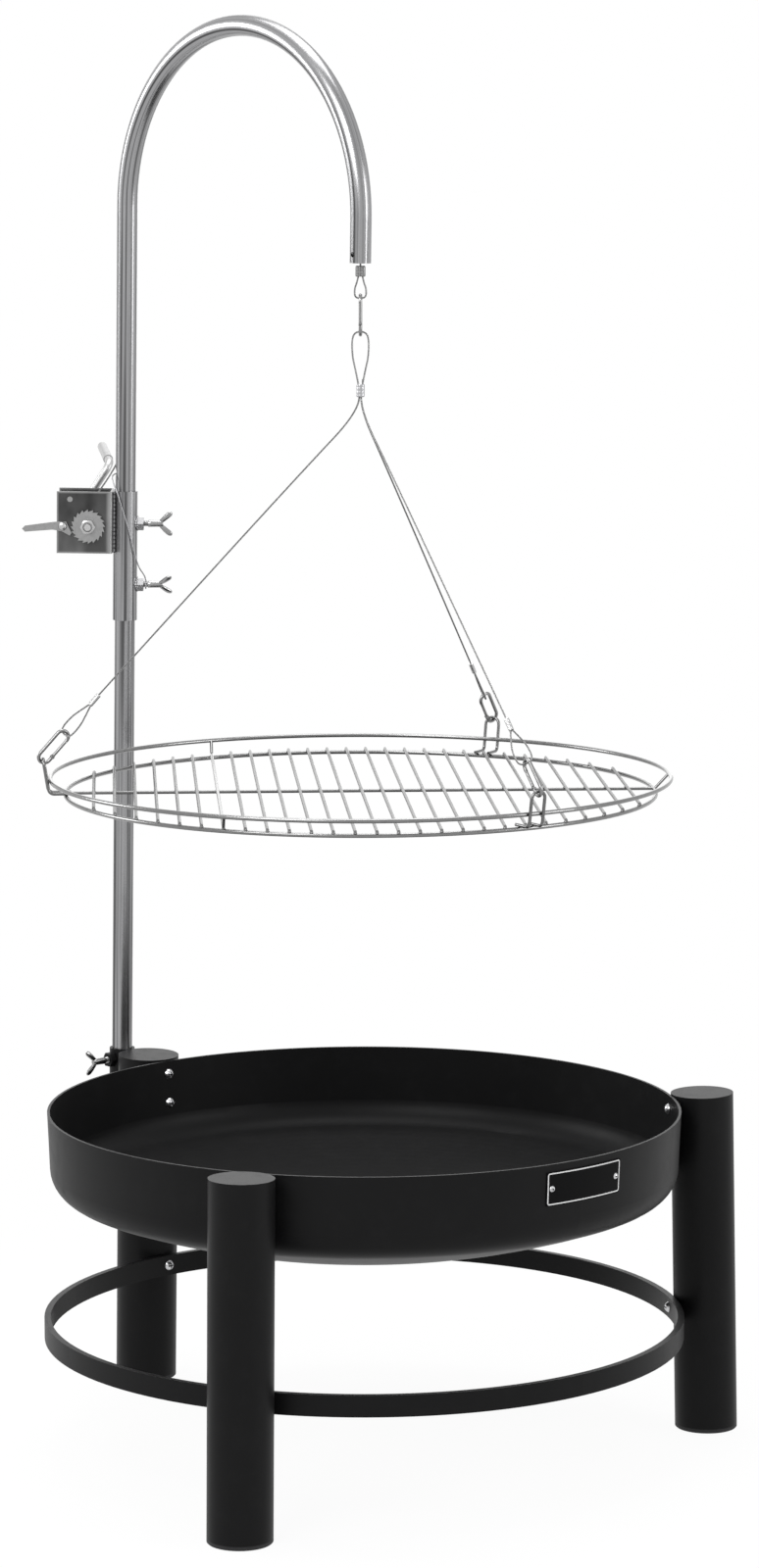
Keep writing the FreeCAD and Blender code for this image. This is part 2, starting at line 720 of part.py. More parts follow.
def make_gooseneck():
    body = new_body("gooseneck", MAST)
    base, level = value(TUBE_JOINT + " + tube_joint_gap"), value("arch_level")
    radius, tail = ARCH_SPAN / 2, TAIL_LEVEL
    spine = chain(new_sketch(body, "XZ_Plane"), [
        Part.LineSegment(Vector(0, base, 0), Vector(0, level, 0)),
        Part.ArcOfCircle(Part.Circle(Vector(radius, level, 0), UP, radius), 0, math.pi),
        Part.LineSegment(Vector(ARCH_SPAN, level, 0), Vector(ARCH_SPAN, tail, 0)),
    ])
    profile = new_sketch(body, "XY_Plane", shift(z=TUBE_JOINT + " + tube_joint_gap"))
    circle(profile, "mast_radius")
    circle(profile, "mast_radius - tube_wall")
    pipe = body.newObject("PartDesign::AdditivePipe", "gooseneck_pipe")
    pipe.Profile = profile
    pipe.Spine = spine
    cable_hole = new_sketch(body, "YZ_Plane", radial_plane("winch_angle", "axle_level + cable_hole_rise"))
    pocket(body, circle(cable_hole, "cable_hole_radius"), "2*mast_radius", back=True)
    pin_hole = new_sketch(body, "XZ_Plane", Placement(Vector(ARCH_SPAN, 0, 0), Rotation()))
    circle(pin_hole, "pin_hole_radius", "0", "arch_level - arch_tail + pin_hole_rise")
    pocket(body, pin_hole, "3*mast_radius", symmetric=True)


def make_wing_screw(label, angle, level, seat, spin):
    outward = MAST.multiply(shift(z=level)).multiply(turn(UP, value(angle)))
    body = new_body(label, outward.multiply(turn(Vector(1, 0, 0), value(spin))))
    neck = "(%s + nut_height + screw_thread_show)" % seat
    end = "(%s + collar_length)" % neck
    tip = "(mast_radius + screw_tip_gap)"
    shank = new_sketch(body, "XZ_Plane")
    outline(shank, [(tip, "0"), (tip, "screw_radius*0.7"), (tip + " + screw_radius/3", "screw_radius"),
                    (neck, "screw_radius"), (neck, "collar_radius"), (end, "collar_radius*0.7"), (end, "0")])
    revolve(body, shank, "H_Axis")
    # a pair of wings spread outward from the collar
    for side in ("", "-"):
        wing = new_sketch(body, "XZ_Plane")
        outline(wing, [(neck + " + collar_length*0.6", side + "collar_radius/2"),
                       (neck + " + collar_length*0.75", side + "collar_radius"),
                       (end + " + wing_reach*0.1", side + "wing_span*0.34"),
                       (end + " + wing_reach*0.6", side + "wing_span*0.48"),
                       (end + " + wing_reach", side + "wing_span/2"),
                       (end + " + wing_reach", side + "wing_span*0.34"),
                       (end + " + wing_reach*0.4", side + "wing_span*0.2"),
                       (end, side + "collar_radius/2")])
        pad(body, wing, "wing_thickness", symmetric=True)


# Winch

def make_bracket():
    body = new_body("winch_bracket", WINCH)
    near, far = SLEEVE_RADIUS, "(%s + bracket_reach)" % SLEEVE_RADIUS
    half, inside = BRACKET_HALF, "bracket_gap/2"
    sheet_face = near + " + bracket_sheet"
    sketch = new_sketch(body, "XY_Plane", shift(z="-bracket_bottom"))
    outline(sketch, [(near, "-" + half), (far, "-" + half), (far, "-" + inside), (sheet_face, "-" + inside),
                     (sheet_face, inside), (far, inside), (far, half), (near, half)])
    bent_sheet = pad(body, sketch, "bracket_bottom + bracket_top")
    # the sheet's bends beside the sleeve, outside and inside
    for corner_x, corner_y, bend in ((near, half, "bracket_bend"),
                                     (sheet_face, inside, "bracket_bend - bracket_sheet")):
        spot = Vector(value(corner_x), value(corner_y), 0)
        bent_sheet = round_corners(body, bent_sheet, bend, lambda middle: (
            abs(middle.x - spot.x) < 1e-6 and abs(abs(middle.y) - spot.y) < 1e-6))
    bores = new_sketch(body, "XZ_Plane")
    circle(bores, "axle_radius + running_gap", "axle_offset", "0")
    tie_spot = (far + " - tie_inset", "bracket_top - tie_drop")
    circle(bores, "tie_radius", *tie_spot)
    pocket(body, bores, "3*bracket_gap", symmetric=True)
    pin = circle(new_sketch(body, "XZ_Plane"), "pawl_pin_radius", far + " - pawl_inset", "0")
    pocket(body, pin, "bracket_gap")
    tie_rod = new_body("bracket_tie_rod", WINCH)
    ends = circle(new_sketch(tie_rod, "XZ_Plane"), "tie_radius", *tie_spot)
    pad(tie_rod, ends, "2*(%s + tie_stand)" % half, symmetric=True)
    rivet = new_body("pawl_rivet", WINCH.multiply(shift(x=far + " - pawl_inset")))
    shape = new_sketch(rivet, "XY_Plane")
    face = "(%s + 2*side_play + pawl_thickness)" % half
    crown = face + " + pawl_head_height"
    outline(shape, [("0", inside), ("pawl_pin_radius", inside), ("pawl_pin_radius", face),
                    ("pawl_head_radius", face), ("pawl_head_radius*0.85", face + " + pawl_head_height*0.6"),
                    ("pawl_head_radius*0.4", crown), ("0", crown)])
    revolve(rivet, shape, "V_Axis")


def make_pawl():
    far = "(%s + bracket_reach)" % SLEEVE_RADIUS
    body = new_body("ratchet_pawl", WINCH.multiply(shift(x=far + " - pawl_inset")))
    front = "(%s + side_play)" % BRACKET_HALF
    gear = "(%s - pawl_inset - axle_offset)" % far
    nose = "(ratchet_radius + pawl_gap)"
    nose_x = "-%s + %s*cos(pawl_nose_angle)" % (gear, nose)
    nose_z = "-%s*sin(pawl_nose_angle)" % nose
    sketch = new_sketch(body, "XZ_Plane", shift(z="-(%s)" % front))
    outline(sketch, [(nose_x, nose_z), (nose_x + " + pawl_width*0.3", nose_z + " - pawl_width*0.45"),
                     ("pawl_hub*0.2", "-pawl_hub"), ("2*pawl_hub", "-pawl_width*0.6"),
                     ("pawl_reach - pawl_width/2", "-pawl_width"), ("pawl_reach", "-pawl_width*0.5"),
                     ("pawl_reach - pawl_width/2", "0"), ("2*pawl_hub", "pawl_width*0.65"),
                     ("pawl_hub*0.8", "pawl_hub*0.9"), ("-pawl_hub*0.7", "pawl_hub*0.9"),
                     ("-pawl_hub*1.1", "0")])
    circle(sketch, "pawl_pin_radius + running_gap")
    pad(body, sketch, "pawl_thickness", back=True)


def make_drum():
    drum_place = WINCH.multiply(shift(x="axle_offset"))
    half = "(bracket_gap/2 - side_play)"
    lip = half + " - drum_flange"
    drum = new_body("winch_drum", drum_place)
    sketch = new_sketch(drum, "XY_Plane")
    outline(sketch, [("axle_radius", "-" + half), ("drum_flange_radius", "-" + half),
                     ("drum_flange_radius", "-(%s)" % lip), ("drum_radius", "-(%s)" % lip),
                     ("drum_radius", lip), ("drum_flange_radius", lip), ("drum_flange_radius", half),
                     ("axle_radius", half)])
    revolve(drum, sketch, "V_Axis")
    shoulder = "(%s + side_play)" % BRACKET_HALF
    ratchet = new_body("ratchet_wheel", drum_place)
    disc = new_sketch(ratchet, "XZ_Plane", shift(z="-" + shoulder))
    circle(disc, "ratchet_radius")
    circle(disc, "stub_radius")
    pad(ratchet, disc, "ratchet_thickness", back=True)
    # one saw tooth's notch, repeated round the wheel
    notch = new_sketch(ratchet, "XZ_Plane", shift(z="-" + shoulder))
    root = "(ratchet_radius - tooth_depth)"
    step = "(360/tooth_count)"
    over = "(ratchet_radius*1.05)"
    outline(notch, [(root, "0"), (over, "0"), ("%s*cos(%s/2)" % (over, step), "%s*sin(%s/2)" % (over, step)),
                    ("ratchet_radius*cos(%s)" % step, "ratchet_radius*sin(%s)" % step)])
    cut = pocket(ratchet, notch, "ratchet_thickness")
    repeat_round(ratchet, [cut], int(value("tooth_count")), axis="Y_Axis")
    nut = new_body("axle_nut", drum_place)
    hexagon = new_sketch(nut, "XZ_Plane", shift(z="-(%s + ratchet_thickness)" % shoulder))
    outline(hexagon, [("axle_nut_across/sqrt(3)*cos(%d)" % corner, "axle_nut_across/sqrt(3)*sin(%d)" % corner)
                      for corner in range(0, 360, 60)])
    circle(hexagon, "stub_radius")
    pad(nut, hexagon, "axle_nut_height", back=True)


def make_crank():
    """Axle, arm and handle in one bent rod, with a thicker grip behind and a thinner stub in front."""
    front = value(BRACKET_HALF + " + side_play")
    back = -value(BRACKET_HALF + " + 2*side_play + crank_bend")
    elbow = Vector(value("crank_elbow_out"), back, value("crank_elbow_up"))
    arm_end = Vector(-value("crank_arm_in"), back, value("crank_arm_up"))
    grip = arm_end + Vector(value("handle_sway"), -value("crank_handle"), value("handle_rise"))
    points = [Vector(0, front, 0), Vector(0, back, 0), elbow, arm_end, grip]
    bent = wire_solid("winch_crank", bent_path(points, [value("crank_bend")] * 3), value("axle_radius"))
    along = (grip - arm_end).normalize()
    length = value("grip_length")
    sleeve = Part.makeCylinder(value("grip_radius"), length, grip - along * length, along)
    tip = Part.makeSphere(value("grip_radius"), grip)
    root = value("stub_radius")
    reach = root + value("ratchet_thickness + axle_nut_height + stub_show")
    stub = Part.makeCylinder(value("stub_radius"), reach, Vector(0, front - root, 0), Vector(0, 1, 0))
    whole = bent.fuse([sleeve, tip, stub]).removeSplitter()
    solid_part("winch_crank", whole, WINCH.multiply(shift(x="axle_offset")))


# Wire rope

# where the hoist cable leaves the drum, in the winch's frame: X outward, Y to the ratchet, Z up
WIND_RADIUS = value("drum_radius + cable_radius + wind_gap")
AXLE = Vector(value("axle_offset"), 0, 0)
TO_HOLE = Vector(value("mast_radius"), 0, value("cable_hole_rise")) - AXLE
LEAVING = math.atan2(TO_HOLE.z, TO_HOLE.x) - math.acos(WIND_RADIUS / TO_HOLE.Length)
LEAVING_WAY = Vector(-math.sin(LEAVING), 0, math.cos(LEAVING))
LOOP_END = value("loop_count*loop_pitch - loop_start")
TAKEOFF = AXLE + Vector(WIND_RADIUS * math.cos(LEAVING), LOOP_END, WIND_RADIUS * math.sin(LEAVING))
# the straight run from the drum meets the mast's axis here
AXIS_MEETING = TAKEOFF.z - TAKEOFF.x * LEAVING_WAY.z / LEAVING_WAY.x


def make_winding():
    """The outer layer on the drum, one unbroken wire of quarter turns."""
    pitch, loops = value("loop_pitch"), int(value("loop_count"))
    radius = value("cable_radius")
    quarter = math.pi / 2

    def place(angle):
        climb = LOOP_END + (angle - LEAVING) / (2 * math.pi) * pitch
        return AXLE + Vector(WIND_RADIUS * math.cos(angle), climb, WIND_RADIUS * math.sin(angle))

    def way(angle):
        return Vector(-WIND_RADIUS * math.sin(angle), pitch / (2 * math.pi),
                      WIND_RADIUS * math.cos(angle)).normalize()

    angles = [LEAVING - quarter * step for step in range(4 * loops, -1, -1)]
    edges = [Part.LineSegment(place(angles[0]) - way(angles[0]) * 2 * radius, place(angles[0])).toShape()]
    for before, after in zip(angles, angles[1:]):
        edges += biarc(place(before), way(before), place(after), way(after))
    last = place(angles[-1])
    edges.append(Part.LineSegment(last, last + way(angles[-1]) * 2 * radius).toShape())
    solid = wire_solid("cable_winding", edges, radius)
    beside = min(place(angle).distanceToPoint(place(angle + 2 * math.pi)) for angle in angles[:4])
    print("cable_winding: least gap to itself %.2f" % (beside - 2 * radius))
    solid_part("cable_winding", solid, WINCH)


def make_cable_run():
    """The hoist cable from beside the drum, in at the mast's hole and along the gooseneck to its end."""
    start = TAKEOFF + LEAVING_WAY * value("takeoff_gap")
    to_mast = MAST.inverse().multiply(WINCH)
    start = to_mast.multVec(start)
    meeting = Vector(0, 0, value("axle_level") + AXIS_MEETING)
    level = value("arch_level")
    top = Vector(0, 0, level)
    edges = bent_path([start, meeting, top], [value("cable_bend")])
    radius = ARCH_SPAN / 2
    far_top = Vector(ARCH_SPAN, 0, level)
    edges.append(Part.Arc(top, Vector(radius, 0, level + radius), far_top).toShape())
    end = TAIL_LEVEL + value("drop_inside + cord_gap")
    edges.append(Part.LineSegment(far_top, Vector(ARCH_SPAN, 0, end)).toShape())
    solid_part("cable_run", wire_solid("cable_run", edges, value("cable_radius")), MAST)


def make_tether():
    """A thin wire from the cable's hole, round the front of the sleeve, to a turn on the lower wing screw."""
    hole = value("cable_hole_rise")
    screw = value(LOWER_SCREW + " - axle_level")
    clear = value("screw_radius + tether_radius + cord_gap")
    beside_nut = -value(SLEEVE_RADIUS + " + nut_height + screw_thread_show/2")
    outside = value(SLEEVE_RADIUS + " + tether_clear")

    def round_mast(angle, radius, share):
        swing = math.radians(angle)
        return Vector(radius * math.cos(swing), radius * math.sin(swing), hole + share * (screw - hole))

    points = [round_mast(TETHER_WAY[0][0], value("mast_radius - tube_wall/2"), TETHER_WAY[0][1] / 2)]
    points += [round_mast(angle, outside, share) for angle, share in TETHER_WAY]
    points += [Vector(beside_nut, clear, screw + 2 * clear), Vector(beside_nut, clear, screw)]
    edges = bent_path(points, easy_bends(points))
    below = Vector(beside_nut, 0, screw - clear)
    behind = Vector(beside_nut, -clear, screw)
    above = Vector(beside_nut, 0, screw + clear)
    slant = clear / math.sqrt(2)
    edges.append(Part.Arc(points[-1], below, behind).toShape())
    edges.append(Part.Arc(behind, Vector(beside_nut, -slant, screw + slant), above).toShape())
    solid_part("tether_wire", wire_solid("tether_wire", edges, value("tether_radius")), WINCH)


# Suspension: the chain that hangs from the gooseneck's end, its flat loops facing the winch's side

ACROSS = value("winch_angle") + 180
FERRULE_TOP = TUBE_END.z - value("hoist_ferrule_gap")
EYE_TOP = FERRULE_TOP - value("hoist_ferrule_length")
EYE_BOTTOM = EYE_TOP - value("eye_length")
TOP_HOOK = EYE_BOTTOM + value(EYE_CLEAR) - value(HOOK_END)
LOOP_TOP = TOP_HOOK - value(HOOK_END) + value(EYE_CLEAR)
LOOP_BOTTOM = LOOP_TOP - value("bridle_loop_length")
BRIDLE_FOOT = LOOP_BOTTOM - value("bridle_ferrule_length")


def hung(level, angle=0.0):
    """Place on the hanging axis at a height, turned about it."""
    return HANG.multiply(Placement(Vector(0, 0, level), Rotation(UP, angle)))


def make_hoist_end():
    length = "drop_inside + hoist_ferrule_gap"
    parts["cable_drop"] = rod("cable_drop", "cable_radius", length, hung(FERRULE_TOP))
    ferrule = new_body("hoist_ferrule", hung(EYE_TOP, ACROSS))
    sketch = new_sketch(ferrule, "XY_Plane")
    side, end = value("hoist_ferrule_radius"), value("strand_offset")
    chain(sketch, [
        Part.LineSegment(Vector(-end, -side, 0), Vector(end, -side, 0)),
        Part.ArcOfCircle(Part.Circle(Vector(end, 0, 0), UP, side), -math.pi / 2, math.pi / 2),
        Part.LineSegment(Vector(end, side, 0), Vector(-end, side, 0)),
        Part.ArcOfCircle(Part.Circle(Vector(-end, 0, 0), UP, side), math.pi / 2, 1.5 * math.pi),
    ])
    pad(ferrule, sketch, "hoist_ferrule_length")
    edges = teardrop(value("strand_offset"), -value("eye_length"), value("eye_radius"))
    solid_part("hoist_eye", wire_solid("hoist_eye", edges, value("cable_radius")), hung(EYE_TOP, ACROSS))


def make_hook(label, gate_label, place):
    """A snap hook: an open link of round wire in the XZ plane, closed by a pinned gate on its +X side."""
    body = new_body(label, place)
    half, nose, pivot = value("hook_half_width"), value("hook_nose"), value("hook_pivot")
    level = value(HOOK_END) - half
    spine = chain(new_sketch(body, "XZ_Plane"), [
        Part.LineSegment(Vector(half, nose, 0), Vector(half, level, 0)),
        Part.ArcOfCircle(Part.Circle(Vector(0, level, 0), UP, half), 0, math.pi),
        Part.LineSegment(Vector(-half, level, 0), Vector(-half, -level, 0)),
        Part.ArcOfCircle(Part.Circle(Vector(0, -level, 0), UP, half), math.pi, 2 * math.pi),
        Part.LineSegment(Vector(half, -level, 0), Vector(half, pivot, 0)),
    ])
    profile = circle(new_sketch(body, "XY_Plane", shift(z="hook_nose")), "hook_radius", "hook_half_width")
    pipe = body.newObject("PartDesign::AdditivePipe", label + "_pipe")
    pipe.Profile = profile
    pipe.Spine = spine
    knuckle = circle(new_sketch(body, "XZ_Plane"), "hook_radius", "hook_half_width", "hook_pivot")
    pad(body, knuckle, "2*hook_radius", symmetric=True)
    slot = new_sketch(body, "XZ_Plane")
    left, right = "hook_half_width - 2*hook_radius", "hook_half_width + 2*hook_radius"
    low, high = "hook_pivot - hook_radius - gate_shoulder", "hook_pivot + 2*hook_radius"
    outline(slot, [(left, low), (right, low), (right, high), (left, high)])
    pocket(body, slot, "gate_slot", symmetric=True)
    bore = new_sketch(body, "XZ_Plane")
    circle(bore, "gate_pin_radius + running_gap", "hook_half_width", "hook_pivot")
    pocket(body, bore, "4*hook_radius", symmetric=True)
    gate = new_body(gate_label, place)
    shoulder = "(hook_pivot + hook_radius + gate_shoulder)"
    tongue = new_sketch(gate, "XZ_Plane")
    left, right = "hook_half_width - gate_radius", "hook_half_width + gate_radius"
    outline(tongue, [(left, "hook_pivot"), (right, "hook_pivot"), (right, shoulder + " + gate_shoulder"),
                     (left, shoulder + " + gate_shoulder")])
    pad(gate, tongue, "gate_tongue", symmetric=True)
    heel = circle(new_sketch(gate, "XZ_Plane"), "gate_radius", "hook_half_width", "hook_pivot")
    pad(gate, heel, "gate_tongue", symmetric=True)
    bar = circle(new_sketch(gate, "XY_Plane", shift(z=shoulder)), "gate_radius", "hook_half_width")
    pad(gate, bar, "hook_nose - end_gap - " + shoulder)
    pin = circle(new_sketch(gate, "XZ_Plane"), "gate_pin_radius", "hook_half_width", "hook_pivot")
    pad(gate, pin, "2*hook_radius", symmetric=True)


def make_bridle():
    edges = teardrop(value("strand_offset"), value("bridle_loop_length"), value("bridle_loop_radius"))
    loop = wire_solid("bridle_loop", edges, value("cable_radius"))
    solid_part("bridle_loop", loop, hung(LOOP_BOTTOM, ACROSS))
    ferrule = new_body("bridle_ferrule", hung(BRIDLE_FOOT))
    pad(ferrule, circle(new_sketch(ferrule, "XY_Plane"), "bridle_ferrule_radius"), "bridle_ferrule_length")


def make_bridle_leg(name, angle, hook_turn, eye_turn):
    """One taut wire from the bridle's ferrule to its snap hook on a grate lug; returns the wire's ferrule."""
    spoke = HANG.multiply(turn(UP, ROD_TURN + angle))
    foot = Vector(value("wire_spread"), 0, BRIDLE_FOOT)
    way = (foot - LUG_CROWN).normalize()
    linked = value("lug_radius + hook_radius + cord_gap")
    hook_low = LUG_CROWN - way * linked
    hook_middle = hook_low + way * value(HOOK_END)
    eye_end = hook_middle + way * (value(HOOK_END) - value(EYE_CLEAR))
    eye_start = eye_end + way * value("wire_eye_length")
    crimp_end = eye_start + way * value("wire_ferrule_length")
    along = Rotation(Vector(-way.z, 0, way.x), Vector(0, 1, 0), way, "ZXY")
    hook_place = Placement(hook_middle, along.multiply(Rotation(UP, hook_turn)))
    make_hook("hook_" + name, "gate_" + name, spoke.multiply(hook_place))
    edges = teardrop(value("wire_eye_strand"), -value("wire_eye_length"), value("wire_eye_radius"))
    eye_place = Placement(eye_start, along.multiply(Rotation(UP, eye_turn)))
    solid_part("wire_eye_" + name, wire_solid("wire_eye_" + name, edges, value("cable_radius")),
               spoke.multiply(eye_place))
    taut = "%.6f" % (foot - crimp_end).Length
    wire = rod("bridle_wire_" + name, "cable_radius", taut, spoke.multiply(Placement(crimp_end, along)))
    parts["bridle_wire_" + name] = wire
    return rod("wire_ferrule_" + name, "wire_ferrule_radius", "wire_ferrule_length",
               spoke.multiply(Placement(eye_start, along)))


# Grate

UPPER_RING = "(lower_ring_radius + ring_flare)"
BAR_LEVEL = "(grate_level + ring_wire_radius + bar_radius)"
LUG_FOOT_LEVEL = value("grate_level + ring_wire_radius + lug_radius")
LUG_TOP = LUG_FOOT_LEVEL + value("lug_height - 2*lug_radius")
# the lugs lean outward and touch the upper ring on the way up
LUG_LEAN = math.radians(value("lug_lean"))
TOUCH_RISE = value("grate_level + grate_rise") - LUG_FOOT_LEVEL
TOUCH_GAP = value("ring_wire_radius + lug_radius")
LUG_RADIUS = value(UPPER_RING) + (TOUCH_GAP - TOUCH_RISE * math.sin(LUG_LEAN)) / math.cos(LUG_LEAN)
LUG_CROWN = Vector(LUG_RADIUS + (LUG_TOP - LUG_FOOT_LEVEL) * math.tan(LUG_LEAN), 0, LUG_TOP)


def torus(label, radius, level):
    ring = doc.addObject("Part::Torus", label)
    ring.Label = label
    bind(ring, "Radius1", radius)
    bind(ring, "Radius2", "ring_wire_radius")
    ring.Placement = hung(value(level))
    parts[label] = ring


def risen_bar(offset, frame):
    """A bar whose two ends are bent up and shaped to meet the upper ring."""
    aside, level, top = value(offset), value(BAR_LEVEL), value("grate_level + grate_rise")
    reach = value("sqrt(lower_ring_radius^2 - %s^2) + bar_overhang" % offset)
    out = value("sqrt(%s^2 - %s^2)" % (UPPER_RING, offset))
    points = [Vector(aside, -out, top), Vector(aside, -reach, level), Vector(aside, reach, level),
              Vector(aside, out, top)]
    wire = wire_solid("risen_bar", bent_path(points, [value("bar_bend")] * 2), value("bar_radius"))
    ring = Part.makeTorus(value(UPPER_RING), value("ring_wire_radius + bar_end_gap"), Vector(0, 0, top))
    bar = doc.addObject("Part::Feature", "risen_bar")
    bar.Shape = wire.cut(ring)
    bar.Placement = frame
    return bar


def make_grate():
    torus("grate_upper_ring", UPPER_RING, "grate_level + grate_rise")
    torus("grate_lower_ring", "lower_ring_radius", "grate_level")
    frame = HANG.multiply(turn(UP, ROD_TURN))
    lying = Rotation(Vector(0, 1, 0), 90)
    inner = "(lower_ring_radius - ring_wire_radius)"
    under_bars = value("grate_level + ring_wire_radius - cross_rod_radius")
    cross = frame.multiply(Placement(Vector(-value(inner), 0, under_bars), lying))
    parts["grate_cross_rod"] = rod("grate_cross_rod", "cross_rod_radius", "2*" + inner, cross)
    across = Rotation(Vector(1, 0, 0), -90)
    bars = []
    offsets = ["(bar_pitch*%d)" % index
               for index in range(-int(value("bars_each_side")), int(value("bars_each_side")) + 1)]
    risen = "(bar_pitch*lug_bar)"
    # a bar is laid only where it crosses the ring
    for offset in [offset for offset in offsets if abs(value(offset)) < value(inner)]:
        if value(offset) == value(risen):
            continue
        half = "(sqrt(lower_ring_radius^2 - %s^2) + bar_overhang)" % offset
        start = Placement(Vector(value(offset), -value(half), value(BAR_LEVEL)), across)
        bars.append(rod("bar", "bar_radius", "2*" + half, frame.multiply(start)))
    group("grate_bars", bars)
    low = Vector(value("lower_ring_radius"), 0, value("grate_level"))
    high = Vector(value(UPPER_RING), 0, value("grate_level + grate_rise"))
    slope = (high - low).normalize()
    span = "sqrt(ring_flare^2 + grate_rise^2) - 2*ring_wire_radius"
    foot = Placement(low + slope * value("ring_wire_radius"), Rotation(UP, slope))
    # the rings are held apart by a short rod at the cross rod's far end and by one bar's risen ends
    far_end = frame.multiply(turn(UP, 180)).multiply(foot)
    group("grate_spacers", [rod("spacer", "spacer_radius", span, far_end), risen_bar(risen, frame)])


def make_lugs():
    """Bent wire lugs: an upright loop outside the upper ring, its two feet turned in over the lower ring."""
    half, bend = value("lug_half_width"), value("lug_bend")
    inner = LUG_RADIUS - value("lug_foot") - bend
    foot = Vector(inner, 0, LUG_FOOT_LEVEL)
    corner = Vector(LUG_RADIUS, 0, LUG_FOOT_LEVEL)
    shoulder = LUG_CROWN + (corner - LUG_CROWN).normalize() * half
    aside = Vector(0, half, 0)
    lugs = []
    for angle, _, _ in LEGS.values():
        edges = bent_path([foot - aside, corner - aside, shoulder - aside], [bend])
        edges.append(Part.Arc(shoulder - aside, LUG_CROWN, shoulder + aside).toShape())
        edges += bent_path([shoulder + aside, corner + aside, foot + aside], [bend])
        lug = doc.addObject("Part::Feature", "lug")
        lug.Shape = wire_solid("lug", edges, value("lug_radius"))
        lug.Placement = HANG.multiply(turn(UP, ROD_TURN + angle))
        lugs.append(lug)
    group("grate_lugs", lugs)


def check_and_write():
    doc.recompute()
    for item in doc.Objects:
        if "Invalid" in item.State or "Error" in item.State:
            raise ValueError("%s failed: %s" % (item.Label, item.State))
    os.makedirs("parts", exist_ok=True)
    for label, item in parts.items():
        shape = item.Shape
        if shape.isNull() or not shape.isValid() or not shape.Solids:
            raise ValueError("%s has no sound shape" % label)
        shape.exportStep("parts/%s.step" % label)
    print("%d parts written" % len(parts))


make_bowl()
for leg_name, leg_angle in LEG_NAMES.items():
    make_leg(leg_name, leg_angle)
make_foot_plugs()
make_base_ring()
make_bolts()
make_nameplate()
make_socket()
make_mast()
make_gooseneck()
make_wing_screw("socket_wing_screw", "socket_screw_angle", SOCKET_SCREW, SOCKET_RADIUS, "socket_wing_turn")
make_wing_screw("upper_wing_screw", "sleeve_screw_angle", UPPER_SCREW, SLEEVE_RADIUS, "upper_wing_turn")
make_wing_screw("lower_wing_screw", "sleeve_screw_angle", LOWER_SCREW, SLEEVE_RADIUS, "lower_wing_turn")
make_bracket()
make_pawl()
make_drum()
make_crank()
make_winding()
make_cable_run()
make_tether()
make_hoist_end()
make_hook("hook_top", "gate_top", hung(TOP_HOOK, ACROSS - 90))
make_bridle()
group("wire_ferrules", [make_bridle_leg(leg_name, *turns) for leg_name, turns in LEGS.items()])
make_grate()
make_lugs()
check_and_write()
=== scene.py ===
import json
import math

import bmesh
import bpy
from bpy.props import FloatProperty, FloatVectorProperty, IntProperty, PointerProperty
from bpy.types import Operator, Panel, PropertyGroup
from mathutils import Matrix, Vector


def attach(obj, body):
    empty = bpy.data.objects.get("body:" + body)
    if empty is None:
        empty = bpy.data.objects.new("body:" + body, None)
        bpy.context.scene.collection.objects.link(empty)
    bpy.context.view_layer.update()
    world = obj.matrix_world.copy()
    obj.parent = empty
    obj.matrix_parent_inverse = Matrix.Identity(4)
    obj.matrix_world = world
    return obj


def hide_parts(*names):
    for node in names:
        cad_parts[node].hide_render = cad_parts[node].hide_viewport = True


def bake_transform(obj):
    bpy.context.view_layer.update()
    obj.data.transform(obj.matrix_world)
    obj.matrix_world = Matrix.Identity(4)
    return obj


bl_info = {
    "name": "Brazier grill looks",
    "version": (1, 0, 0),
    "blender": (4, 5, 0),
    "location": "3D View > Sidebar > Brazier",
    "description": "Finishes and fine pieces for a fire bowl with a hanging grate",
    "category": "Object",
}

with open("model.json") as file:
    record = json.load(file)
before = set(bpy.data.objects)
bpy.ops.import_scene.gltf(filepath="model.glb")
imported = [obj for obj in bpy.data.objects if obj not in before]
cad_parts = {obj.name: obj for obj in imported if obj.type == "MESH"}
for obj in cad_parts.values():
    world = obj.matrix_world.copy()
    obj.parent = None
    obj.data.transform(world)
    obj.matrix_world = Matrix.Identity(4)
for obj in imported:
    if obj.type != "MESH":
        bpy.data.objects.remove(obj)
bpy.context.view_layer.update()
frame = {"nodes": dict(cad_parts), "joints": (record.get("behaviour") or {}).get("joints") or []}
NODES = frame["nodes"]
JOINTS = {joint["name"]: joint for joint in frame["joints"]}

LEG_ANGLES = (180.0, -60.0, 60.0)
HANGING_LEGS = ("left", "front", "back")
UP = Vector((0.0, 0.0, 1.0))
WHITE = (1.0, 1.0, 1.0, 1.0)

# Places and sizes that the solids share, in metres
LEAN = math.radians(1.25)
MAST_X, WINCH_LEVEL, WINCH_TURN = -0.37973, 0.8585, math.radians(-131.0)
MAST = Matrix.Translation((MAST_X, 0.0, 0.0)) @ Matrix.Rotation(LEAN, 4, "Y")
WINCH = MAST @ Matrix.Translation((0.0, 0.0, WINCH_LEVEL)) @ Matrix.Rotation(WINCH_TURN, 4, "Z")
